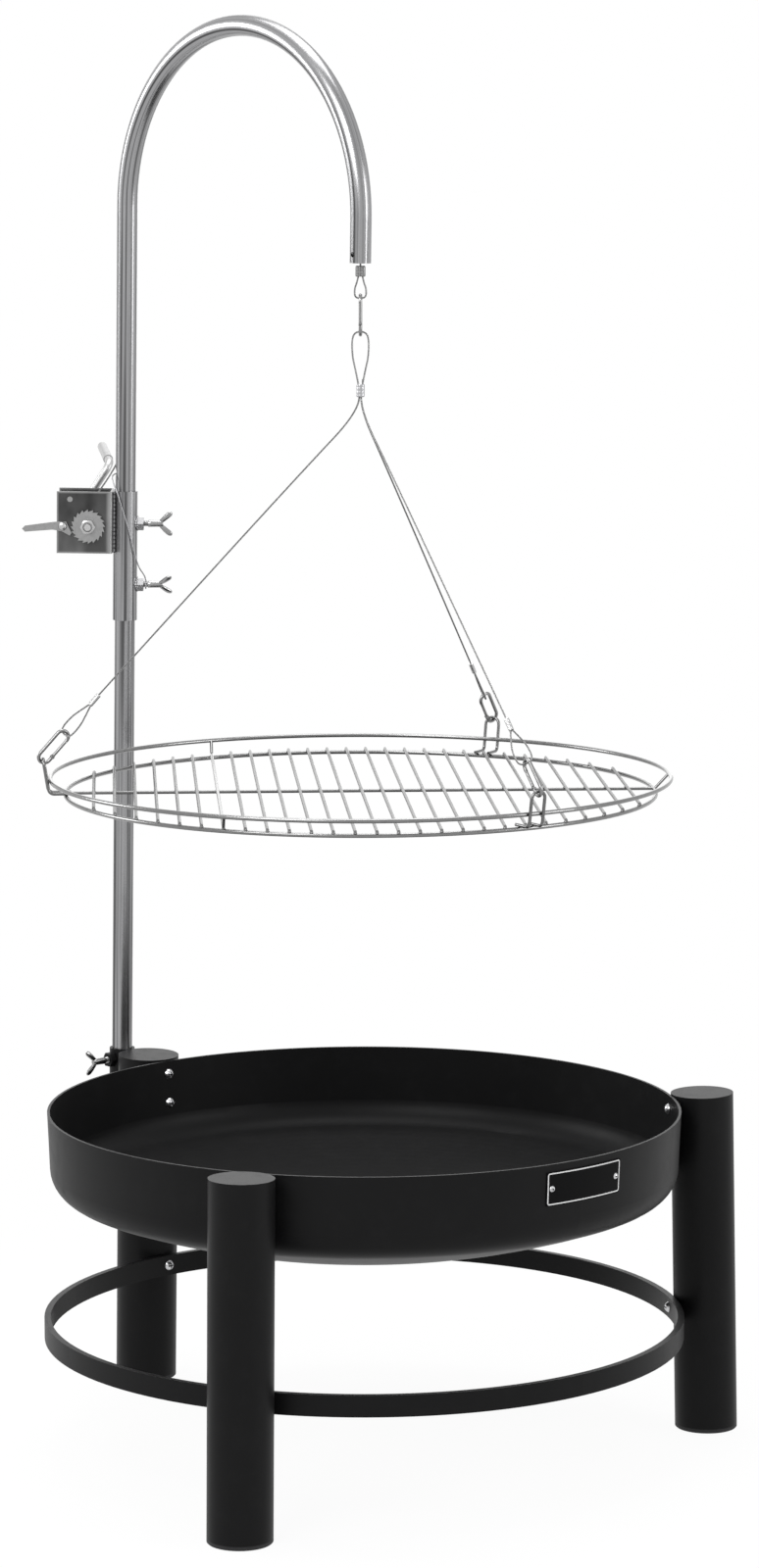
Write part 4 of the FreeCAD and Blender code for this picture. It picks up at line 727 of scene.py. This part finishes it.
class BRAZIER_OT_wire_ropes(Operator):
    """Twisted steel cables: hoist, bridle, eyes, winding and tether"""
    bl_idname = "brazier.wire_ropes"
    bl_label = "Wire ropes"

    def execute(self, context):
        scene = context.scene
        rope, radius = scene.brazier_rope, scene.brazier_rope.radius
        grain, wear = 260.0, 0.4
        steel = plated("stranded_wire", scene.brazier_wire, grain, wear)
        drop = [Vector((HANG_X, 0.0, level)) for level in (FERRULE_TOP, CABLE_TOP)]
        hanging = self.rope("cable_drop_rope", drop, radius, rope, steel, None, "cable_drop")
        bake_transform(hanging)
        eye = smooth_line(loop_route((HANG_X, 0.0, EYE_TOP), UP, LOOPS_SIDE, *HOIST_EYE))
        self.rope("hoist_eye_rope", eye, radius, rope, steel, "swivel", "hoist_eye")
        loop = smooth_line(loop_route((HANG_X, 0.0, LOOP_BOTTOM), UP, LOOPS_SIDE, *BRIDLE_LOOP))
        self.rope("bridle_loop_rope", loop, radius, rope, steel, "grate", "bridle_loop")
        # the loop's cut end stands up beside it out of the ferrule
        beside, behind, rises = 0.0021, -0.0020, (-0.004, 0.0046)
        foot = facing((HANG_X, 0.0, LOOP_BOTTOM), UP, LOOPS_SIDE)
        cut_end = [foot @ Vector((beside, behind, rise)) for rise in rises]
        dark = plated("cut_wire", scene.brazier_crimp, grain, wear)
        self.rope("bridle_cut_end", cut_end, radius, rope, dark, "grate")
        for name in HANGING_LEGS:
            start, way, side, top = (Vector(given) for given in LEGS[name])
            eye = smooth_line(loop_route(start, way, side, *WIRE_EYE))
            self.rope("wire_eye_rope_" + name, eye, radius, rope, steel, "grate", "wire_eye_" + name)
            foot = start + way * CRIMP_LENGTH
            bowed = smooth_line([foot.lerp(top, share) - UP * low for share, low in BRIDLE_BOW])
            self.rope("bridle_rope_" + name, bowed, radius, rope, steel, "grate", "bridle_wire_" + name)
        inside = smooth_line(mast_cable_route())
        self.rope("mast_cable_rope", inside, radius, rope, steel, "head", "cable_run")
        wound = smooth_line(winding_route())
        self.rope("winding_rope", wound, radius, rope, steel, "drum", "cable_winding")
        pale = plated("tether_wire", scene.brazier_ferrule, grain, wear)
        tether = smooth_line(tether_route())
        self.rope("tether_rope", tether, rope.thin, rope, pale, "head", "tether_wire")
        return {"FINISHED"}

    def rope(self, name, line, radius, rope, steel, body, *nodes):
        """One cable along a line, in place of its plain nodes."""
        shape = Shape()
        strand_rope(shape, line, radius, rope)
        return shape.piece(name, steel, body, "wire_rope", nodes, crisp=70.0)


class BRAZIER_OT_ferrules(Operator):
    """Pressed sleeves that close the cables' eyes"""
    bl_idname = "brazier.ferrules"
    bl_label = "Ferrules"

    def execute(self, context):
        scene = context.scene
        dark = plated("double_crimp", scene.brazier_crimp, 420.0, 0.5, flow=(1.0, 1.0, 0.2))
        grey = plated("bridle_crimp", scene.brazier_ferrule, 320.0, 0.35)
        pale = plated("wire_crimp", scene.brazier_sleeve, 320.0, 0.25)
        hoist, bridle, wires = Shape(), Shape(), Shape()
        self.sleeve(hoist, facing((HANG_X, 0.0, EYE_TOP), UP, LOOPS_SIDE), *HOIST_FERRULE)
        hoist.piece("hoist_ferrule_sleeve", dark, "swivel", "ferrule_metal", ("hoist_ferrule",))
        self.sleeve(bridle, facing((HANG_X, 0.0, BRIDLE_FOOT), UP, LOOPS_SIDE), *BRIDLE_FERRULE)
        bridle.piece("bridle_ferrule_sleeve", grey, "grate", "ferrule_metal", ("bridle_ferrule",))
        for name in HANGING_LEGS:
            start, way, side, _ = LEGS[name]
            self.sleeve(wires, facing(start, way, side), *WIRE_FERRULE)
        wires.piece("wire_ferrule_sleeves", pale, "grate", "ferrule_metal", ("wire_ferrules",))
        return {"FINISHED"}

    def sleeve(self, shape, place, wide, deep, length, press):
        """A sleeve with a barrel round each of its two strands and three pressed bands."""
        rows, around, bands = 25, 40, 3
        mouth, rounding, plain = 0.86, 0.0007, 0.08
        rings = []
        for row in range(rows):
            part = row / (rows - 1)
            edge = min(part, 1.0 - part) * length
            shoulder = mouth + (1.0 - mouth) * min(1.0, edge / rounding)
            pressed = plain < part < 1.0 - plain
            dent = max(0.0, math.sin(math.pi * (part * (2 * bands + 1) - 1.0))) * pressed
            ring = []
            for step in range(around):
                angle = 2.0 * math.pi * step / around
                across = wide * math.cos(angle)
                barrel = math.sqrt(max(deep ** 2 - (abs(across) - wide + deep) ** 2, 0.0))
                out = math.copysign(barrel, math.sin(angle)) * (1.0 - press * dent)
                ring.append((across * shoulder, out * shoulder, part * length))
            rings.append(ring)
        shape.rings(rings, place)


class BRAZIER_OT_fire_bowl(Operator):
    """Powder coat on the pressed fire bowl"""
    bl_idname = "brazier.fire_bowl"
    bl_label = "Fire bowl"

    def execute(self, context):
        dress(powder_coat("bowl_coat", context.scene.brazier_coat, rings=True), "fire_bowl")
        return {"FINISHED"}


class BRAZIER_OT_legs(Operator):
    """Powder coat on the legs, base ring and socket, and plastic on the foot plugs"""
    bl_idname = "brazier.legs"
    bl_label = "Legs and base ring"

    def execute(self, context):
        coat = context.scene.brazier_coat
        dress(powder_coat("leg_coat", coat), "leg_mast", "leg_left", "leg_right", "base_ring", "mast_socket",
              "socket_nut")
        dress(moulded_plastic("foot_plastic", tuple(coat.plastic)), "foot_plugs")
        return {"FINISHED"}


def cross_dome(shape, place, radius, height):
    """A domed screw head with a cross recess, its foot at the frame's origin and its crown along Z."""
    around, rows, fullness, deep_sink = 64, 26, 2.6, 0.4
    slot, reach, depth = radius * 0.15, radius * 0.62, height * 0.55
    slot_edge, reach_edge, least = slot * 0.5, radius * 0.14, 0.01

    def inside(distance, edge, soft):
        return max(0.0, min(1.0, (edge - distance) / soft))

    rings, sinks = [], []
    for row in range(rows + 1):
        part = 1.0 - row / rows
        out = max(part, least) * radius
        rise = height * (1.0 - part ** fullness)
        ring, sink = [], []
        for step in range(around):
            angle = 2.0 * math.pi * step / around
            x, y = out * math.cos(angle), out * math.sin(angle)
            near, far = sorted((abs(x), abs(y)))
            sink.append(inside(near, slot, slot_edge) * inside(far, reach, reach_edge))
            ring.append((x, y, rise - depth * sink[-1]))
        rings.append(ring)
        sinks.append(sink)
    first = len(shape.faces)
    shape.rings(rings, place)
    for row in range(rows):
        for step in range(around):
            corners = [sinks[r][s % around] for r in (row, row + 1) for s in (step, step + 1)]
            # faces deep in the recess take the painted shade finish
            if min(corners) > deep_sink:
                shape.sunk.add(first + row * around + step)
    shape.sunk.add(first + rows * around + 1)


def screw_place(name, side=None):
    """A wing screw's frame: its foot on the tube's axis, Z outward and X along side."""
    joint = JOINTS[name + "_screw_turn"]
    axis = Vector(joint["axis"])
    return facing(Vector(joint["pos_m"]) - axis * SCREW_JOINT, axis, side or axis.cross(UP))


def weld(shape, place, wide, deep, high):
    """A low oval blob of weld."""
    around, rows = 10, 6
    turns = [2.0 * math.pi * step / around for step in range(around)]
    rings = []
    for row in range(1, rows):
        tilt = math.pi * row / rows
        rings.append([(wide * math.sin(tilt) * math.cos(a), deep * math.sin(tilt) * math.sin(a),
                       high * math.cos(tilt)) for a in turns])
    shape.rings(rings, place)


def nut_welds(shape, place, radius, tube):
    """Beads that fill the wedge between a nut's foot and the round tube below it."""
    beads, wide, deep, high = 16, 0.0011, 0.0017, 0.0009
    for bead in range(beads):
        angle = 2.0 * math.pi * bead / beads
        across, along = radius * math.cos(angle), radius * math.sin(angle)
        drop = tube - math.sqrt(tube ** 2 - across ** 2)
        spot = Matrix.Translation((across, along, -drop / 2.0)) @ Matrix.Rotation(angle, 4, "Z")
        weld(shape, place @ spot, wide, deep, high + drop / 2.0)


def hex_nut(shape, place, across, height, bore, depth):
    """A chamfered nut whose foot is at the frame's origin, with its bore open to depth."""
    around, flat = 72, across / 2.0
    chamfer, slope, lip = flat * 0.97, 0.58, bore * 0.12
    foot, shoulder, face, outward = [], [], [], []
    for step in range(around):
        angle = 2.0 * math.pi * step / around
        edge = flat / math.cos(angle % (math.pi / 3.0) - math.pi / 6.0)
        out = Vector((math.cos(angle), math.sin(angle), 0.0))
        foot.append(out * edge)
        shoulder.append(out * edge + UP * (height - (edge - chamfer) * slope))
        face.append(out * chamfer + UP * height)
        outward.append(out)
    rings = [foot, shoulder, face]
    for radius, level in ((bore + lip, height), (bore, height - lip), (bore, height - depth)):
        rings.append([out * radius + UP * level for out in outward])
    shape.rings(rings, place)


class BRAZIER_OT_bolts(Operator):
    """Domed bolts through the bowl and the base ring"""
    bl_idname = "brazier.bolts"
    bl_label = "Bolts"

    def execute(self, context):
        scene = context.scene
        zinc = plated("bolt_zinc", scene.brazier_bolt, 420.0, wear=0.4)
        # near-black painted shade for the cross recesses
        grime = plated("recess_painted_shade", scene.brazier_grime, 500.0, wear=0.4)
        sets = {"bowl": Shape(), "ring": Shape()}
        for angle in LEG_ANGLES:
            for group, face, level in BOLT_ROWS:
                self.bolt(sets[group], math.radians(angle), face, level, scene.brazier_screw)
        for group, shape in sets.items():
            shape.piece(group + "_bolt_set", zinc, "stand", "bolt_zinc", (group + "_bolts",), sunk=grime)
        return {"FINISHED"}

    def bolt(self, shape, swing, face, level, sizes):
        """A bolt whose head shows inside and whose shank runs out into the leg."""
        grip, radius, tip, bevel = 0.016, 0.003, 0.0024, 0.001
        out = Vector((math.cos(swing), math.sin(swing), 0.0))
        head = facing(out * face + UP * level, -out)
        cross_dome(shape, head, sizes.bolt_head, sizes.bolt_height)
        shape.lathe([(-grip, tip), (-grip + bevel, radius), (0.0, radius)], head, segments=20)


class BRAZIER_OT_nameplate(Operator):
    """Bare plate with a raised border and two screws"""
    bl_idname = "brazier.nameplate"
    bl_label = "Nameplate"

    def execute(self, context):
        scene, plate = context.scene, context.scene.brazier_plate
        dress(enamel("plate_enamel", tuple(plate.field), roughness=0.36, sheen=0.04), "nameplate")
        pale = enamel("plate_border", tuple(plate.border), roughness=0.35, sheen=0.5)
        self.border(plate).piece("nameplate_border", pale, "stand", "plate")
        zinc = plated("plate_screw_zinc", scene.brazier_bolt, 420.0, wear=0.4)
        # near-black painted shade for the screws' cross recesses
        grime = plated("plate_recess_painted_shade", scene.brazier_grime, 500.0, wear=0.4)
        screws = Shape()
        apart, head, crown = 0.040, 0.0029, 0.0016
        for side in (-1.0, 1.0):
            spot, out = self.on_plate(side * apart, 0.0, 0.0)
            cross_dome(screws, facing(spot, out), head, crown)
        screws.piece("nameplate_screws", zinc, "stand", "bolt_zinc", ("nameplate_rivets",), sunk=grime)
        return {"FINISHED"}

    def on_plate(self, across, up, proud):
        """A point on the plate's face, and the way it faces."""
        radius, rim, level, thick = 0.300, 0.328, 0.3055, 0.0012
        draft, turn = math.radians(2.4), math.radians(1.1)
        angle = turn + across / radius
        out = Vector((math.cos(angle), math.sin(angle), 0.0))
        height = level + up
        reach = radius - (rim - height) * math.tan(draft) + thick + proud
        return out * reach + UP * height, (out * math.cos(draft) - UP * math.sin(draft)).normalized()

    def border(self, plate):
        """The raised line round the plate, with round corners."""
        half_wide, half_high, corner, proud, least = 0.046, 0.0155, 0.0030, 0.00025, 0.0005
        steps, run = 6, 14

        def outline(inset):
            wide, high = half_wide - inset, half_high - inset
            bend = max(corner - inset, least)
            points = []
            for quarter in range(4):
                sx, sy = ((1, 1), (-1, 1), (-1, -1), (1, -1))[quarter]
                cx, cy = sx * (wide - bend), sy * (high - bend)
                for step in range(steps + 1):
                    angle = math.pi / 2.0 * (quarter + step / steps)
                    points.append((cx + bend * math.cos(angle), cy + bend * math.sin(angle)))
            whole = []
            for before, after in zip(points, points[1:] + points[:1]):
                whole.append(before)
                if math.dist(before, after) > 2.0 * corner:
                    whole += [(before[0] + (after[0] - before[0]) * k / run,
                               before[1] + (after[1] - before[1]) * k / run) for k in range(1, run)]
            return whole

        shape = Shape()
        outer = plate.border_inset
        inner = outer + plate.border_width
        loops = ((outer, 0.0), (outer + proud, proud), (inner - proud, proud), (inner, 0.0))
        rings = [[self.on_plate(x, y, rise)[0] for x, y in outline(inset)] for inset, rise in loops]
        shape.rings(rings, ends=False)
        return shape


class BRAZIER_OT_mast(Operator):
    """Galvanised tubes of the mast, its sleeve and the gooseneck"""
    bl_idname = "brazier.mast"
    bl_label = "Mast"

    def execute(self, context):
        scene = context.scene
        dress(drawn_tube("tube_zinc", scene.brazier_tube), "mast_tube", "mast_sleeve", "gooseneck")
        nuts, seams = Shape(), Shape()
        bore, depth = 0.00306, NUT_HEIGHT * 0.9
        for name in ("upper", "lower"):
            place = screw_place(name) @ Matrix.Translation((0.0, 0.0, SLEEVE_SEAT))
            hex_nut(nuts, place, NUT_ACROSS, NUT_HEIGHT, bore, depth)
            nut_welds(seams, place, NUT_ACROSS / 2.0, SLEEVE_SEAT)
        zinc = plated("nut_zinc", scene.brazier_bolt, 300.0, wear=0.6)
        nuts.piece("sleeve_nut_pair", zinc, "head", "tube", ("sleeve_nuts",))
        # two seams of beads hold the winch's bracket to the sleeve
        beads, out, aside, low, high = 15, 0.0112, 0.0066, -0.025, 0.032
        for side in (-1.0, 1.0):
            for bead in range(beads):
                level = low + (high - low) * bead / (beads - 1)
                spot = WINCH @ Matrix.Translation((out, side * aside, level))
                weld(seams, spot, wide=0.0019, deep=0.0015, high=0.0026)
        bead_zinc = plated("weld_zinc", scene.brazier_tube, 420.0, wear=0.6)
        seams.piece("sleeve_welds", bead_zinc, "head", "tube")
        return {"FINISHED"}


class BRAZIER_OT_wing_screws(Operator):
    """Cast wing screws with cut threads"""
    bl_idname = "brazier.wing_screws"
    bl_label = "Wing screws"

    def execute(self, context):
        scene, sizes = context.scene, context.scene.brazier_screw
        cast = plated("cast_zinc", scene.brazier_wing, 340.0, wear=0.45)
        thread = plated("thread_zinc", scene.brazier_wing, 400.0, wear=0.5)
        for name, seat in (("socket", SOCKET_SEAT), ("upper", SLEEVE_SEAT), ("lower", SLEEVE_SEAT)):
            body = name + "_screw"
            place = screw_place(name, WING_LAYS[name])
            neck = seat + NUT_HEIGHT + sizes.thread_show
            end = neck + sizes.collar_length
            shank, wings = self.shank(sizes, neck, end, place), self.wings(sizes, neck, end, place)
            shank.piece(name + "_screw_shank", thread, body, "screw_zinc")
            blades = wings.piece(name + "_screw_wings", cast, body, "screw_zinc", (name + "_wing_screw",))
            rounder = blades.modifiers.new("rounding", "SUBSURF")
            rounder.levels = rounder.render_levels = 2
        return {"FINISHED"}

    def shank(self, sizes, neck, end, place):
        """The threaded shank and the smooth collar above it."""
        tip, bevel, lead = 0.0102, 0.0008, 0.001
        radius, root, pitch, collar = sizes.shank, sizes.shank * 0.86, sizes.pitch, sizes.collar
        profile = [(tip, radius * 0.6), (tip + bevel, root)]
        for turn in range(int((neck - tip - lead) / pitch)):
            foot = tip + lead + turn * pitch
            profile += [(foot + pitch * share, out) for share, out in (
                (0.25, root), (0.5, radius), (0.65, radius), (0.9, root))]
        profile += [(neck, root), (neck, collar * 0.92), (neck + 0.0005, collar),
                    (neck + 0.003, collar * 0.98), (end - 0.004, collar * 0.92),
                    (end - 0.001, collar * 0.80), (end, collar * 0.60)]
        shape = Shape()
        shape.lathe(profile, place, segments=28)
        return shape

    def wings(self, sizes, neck, end, place):
        """Two blades that lean outward from the collar; X is across and Z is along the screw."""
        collar, span, reach, half = sizes.collar, sizes.wing_span, sizes.wing_reach, 0.0020
        shape = Shape()
        length = end - neck
        outline = [(collar * 0.1, neck + length * 0.58), (collar * 0.9, neck + length * 0.70),
                   (span * 0.36, end + reach * 0.02), (span * 0.56, end + reach * 0.54),
                   (span * 0.57, end + reach * 1.12), (span * 0.35, end + reach * 1.14),
                   (span * 0.20, end + reach * 0.44), (collar * 0.1, end + reach * 0.02)]
        for side in (-1.0, 1.0):
            rings = [[(side * wide, depth, far) for wide, far in outline] for depth in (-half, half)]
            shape.rings(rings, place)
        return shape


class BRAZIER_OT_winch(Operator):
    """Zinc plated bracket, drum, ratchet, pawl and crank"""
    bl_idname = "brazier.winch"
    bl_label = "Winch"

    def execute(self, context):
        scene = context.scene
        dress(rolled_sheet("winch_sheet", scene.brazier_sheet), "winch_bracket")
        turned = plated("winch_parts", scene.brazier_casting, 260.0, wear=0.4)
        dress(turned, "winch_drum", "ratchet_wheel", "ratchet_pawl", "bracket_tie_rod")
        bright = plated("rivet_zinc", scene.brazier_sleeve, 300.0)
        dress(bright, "pawl_rivet")
        dress(plated("crank_zinc", scene.brazier_crank, 180.0), "winch_crank")
        nut = Shape()
        aside, bore, depth = 0.0245, 0.0042, 0.0030
        place = facing(WINCH @ Vector((AXLE, aside, 0.0)), WINCH.col[1].xyz, WINCH.col[0].xyz)
        hex_nut(nut, place, NUT_ACROSS, NUT_HEIGHT, bore, depth)
        nut.piece("axle_nut_hex", bright, "drum", "winch_zinc", ("axle_nut",))
        return {"FINISHED"}


class BRAZIER_OT_hooks(Operator):
    """Bright snap hooks and their gates"""
    bl_idname = "brazier.hooks"
    bl_label = "Snap hooks"

    def execute(self, context):
        zinc = plated("hook_zinc", context.scene.brazier_hook, 380.0, 0.35)
        for end in ("top",) + HANGING_LEGS:
            dress(zinc, "hook_" + end, "gate_" + end)
        return {"FINISHED"}


class BRAZIER_OT_grate(Operator):
    """Chrome plated wires of the grate and the spot welds between them"""
    bl_idname = "brazier.grate"
    bl_label = "Grate"

    def execute(self, context):
        scene = context.scene
        chrome = plated("grate_chrome", scene.brazier_chrome, 180.0, wear=0.25)
        dress(chrome, "grate_upper_ring", "grate_lower_ring")
        # painted shade: a darker copy of the chrome for the lugs, the cross rod below the bars and the
        # spacers
        dark = plated("shaded_lug_chrome", scene.brazier_lug, 180.0, wear=0.4)
        dress(dark, "grate_lugs", "grate_cross_rod", "grate_spacers")
        dress(plated("bar_chrome", scene.brazier_chrome, 180.0, wear=0.4, edge=0.6), "grate_bars")
        welds = Shape()
        ring, wire, pitch, each_side = 0.277, 0.0020, 0.01925, 13
        for index in range(-each_side, each_side + 1):
            offset = index * pitch
            half = math.sqrt(ring ** 2 - offset ** 2)
            slope = math.atan2(offset, half)
            for side in (-1.0, 1.0):
                self.spot_weld(welds, (offset, side * half, wire), slope * side)
            self.spot_weld(welds, (offset, 0.0, wire), 0.0)
        welds.piece("grate_welds", chrome, "grate", "grate_chrome")
        return {"FINISHED"}

    def spot_weld(self, shape, spot, turn):
        """Where two wires are pressed together."""
        place = GRATE @ Matrix.Translation(spot) @ Matrix.Rotation(turn, 4, "Z")
        weld(shape, place, wide=0.0019, deep=0.0023, high=0.0013)


OPERATORS = (BRAZIER_OT_stage, BRAZIER_OT_wire_ropes, BRAZIER_OT_ferrules, BRAZIER_OT_fire_bowl,
             BRAZIER_OT_legs, BRAZIER_OT_bolts, BRAZIER_OT_nameplate, BRAZIER_OT_mast,
             BRAZIER_OT_wing_screws, BRAZIER_OT_winch, BRAZIER_OT_hooks, BRAZIER_OT_grate)
# metals that share one kind of settings: colour and least roughness
METALS = {
    "tube": ((0.26, 0.26, 0.265), 0.16),
    "bolt": ((0.56, 0.56, 0.57), 0.20),
    # near black: painted shade for the screws' cross recesses
    "grime": ((0.03, 0.03, 0.03), 0.45),
    "casting": ((0.31, 0.31, 0.31), 0.26),
    "wing": ((0.32, 0.32, 0.32), 0.14),
    "crank": ((0.46, 0.46, 0.46), 0.38),
    "sheet": ((0.075, 0.075, 0.075), 0.28),
    "hook": ((0.25, 0.25, 0.25), 0.18),
    "wire": ((0.27, 0.27, 0.27), 0.30),
    "crimp": ((0.20, 0.20, 0.20), 0.34),
    "ferrule": ((0.42, 0.42, 0.43), 0.30),
    "sleeve": ((0.47, 0.47, 0.47), 0.24),
    "chrome": ((0.22, 0.22, 0.22), 0.14),
    # a darker copy of the chrome: painted shade on the grate's lugs, cross rod and spacers
    "lug": ((0.17, 0.17, 0.17), 0.14),
}
# each group of settings on the scene, by its name after brazier_
SETTINGS = {"coat": BRAZIER_PG_coat, "rope": BRAZIER_PG_rope, "screw": BRAZIER_PG_screw,
            "plate": BRAZIER_PG_plate, "stage": BRAZIER_PG_stage}
SETTINGS.update({name: BRAZIER_PG_metal for name in METALS})


class BRAZIER_PT_panel(Panel):
    """The brazier's pieces and settings"""
    bl_idname = "BRAZIER_PT_panel"
    bl_label = "Brazier"
    bl_space_type = "VIEW_3D"
    bl_region_type = "UI"
    bl_category = "Brazier"

    def draw(self, context):
        layout = self.layout
        for operator in OPERATORS:
            layout.operator(operator.bl_idname)
        for name in SETTINGS:
            box = layout.box()
            box.label(text=name.capitalize())
            settings = getattr(context.scene, "brazier_" + name)
            for key in settings.__annotations__:
                box.prop(settings, key)


GROUPS = (BRAZIER_PG_coat, BRAZIER_PG_metal, BRAZIER_PG_rope, BRAZIER_PG_screw, BRAZIER_PG_plate,
          BRAZIER_PG_stage)
CLASSES = GROUPS + OPERATORS + (BRAZIER_PT_panel,)


def register():
    for kind in CLASSES:
        bpy.utils.register_class(kind)
    for name, kind in SETTINGS.items():
        setattr(bpy.types.Scene, "brazier_" + name, PointerProperty(type=kind))


def unregister():
    for name in SETTINGS:
        delattr(bpy.types.Scene, "brazier_" + name)
    for kind in reversed(CLASSES):
        bpy.utils.unregister_class(kind)


def main():
    register()
    for name, (colour, roughness) in METALS.items():
        settings = getattr(bpy.context.scene, "brazier_" + name)
        settings.colour = colour
        settings.roughness = roughness
    for operator in OPERATORS:
        group, name = operator.bl_idname.split(".")
        getattr(getattr(bpy.ops, group), name)()


if __name__ == "__main__":
    main()
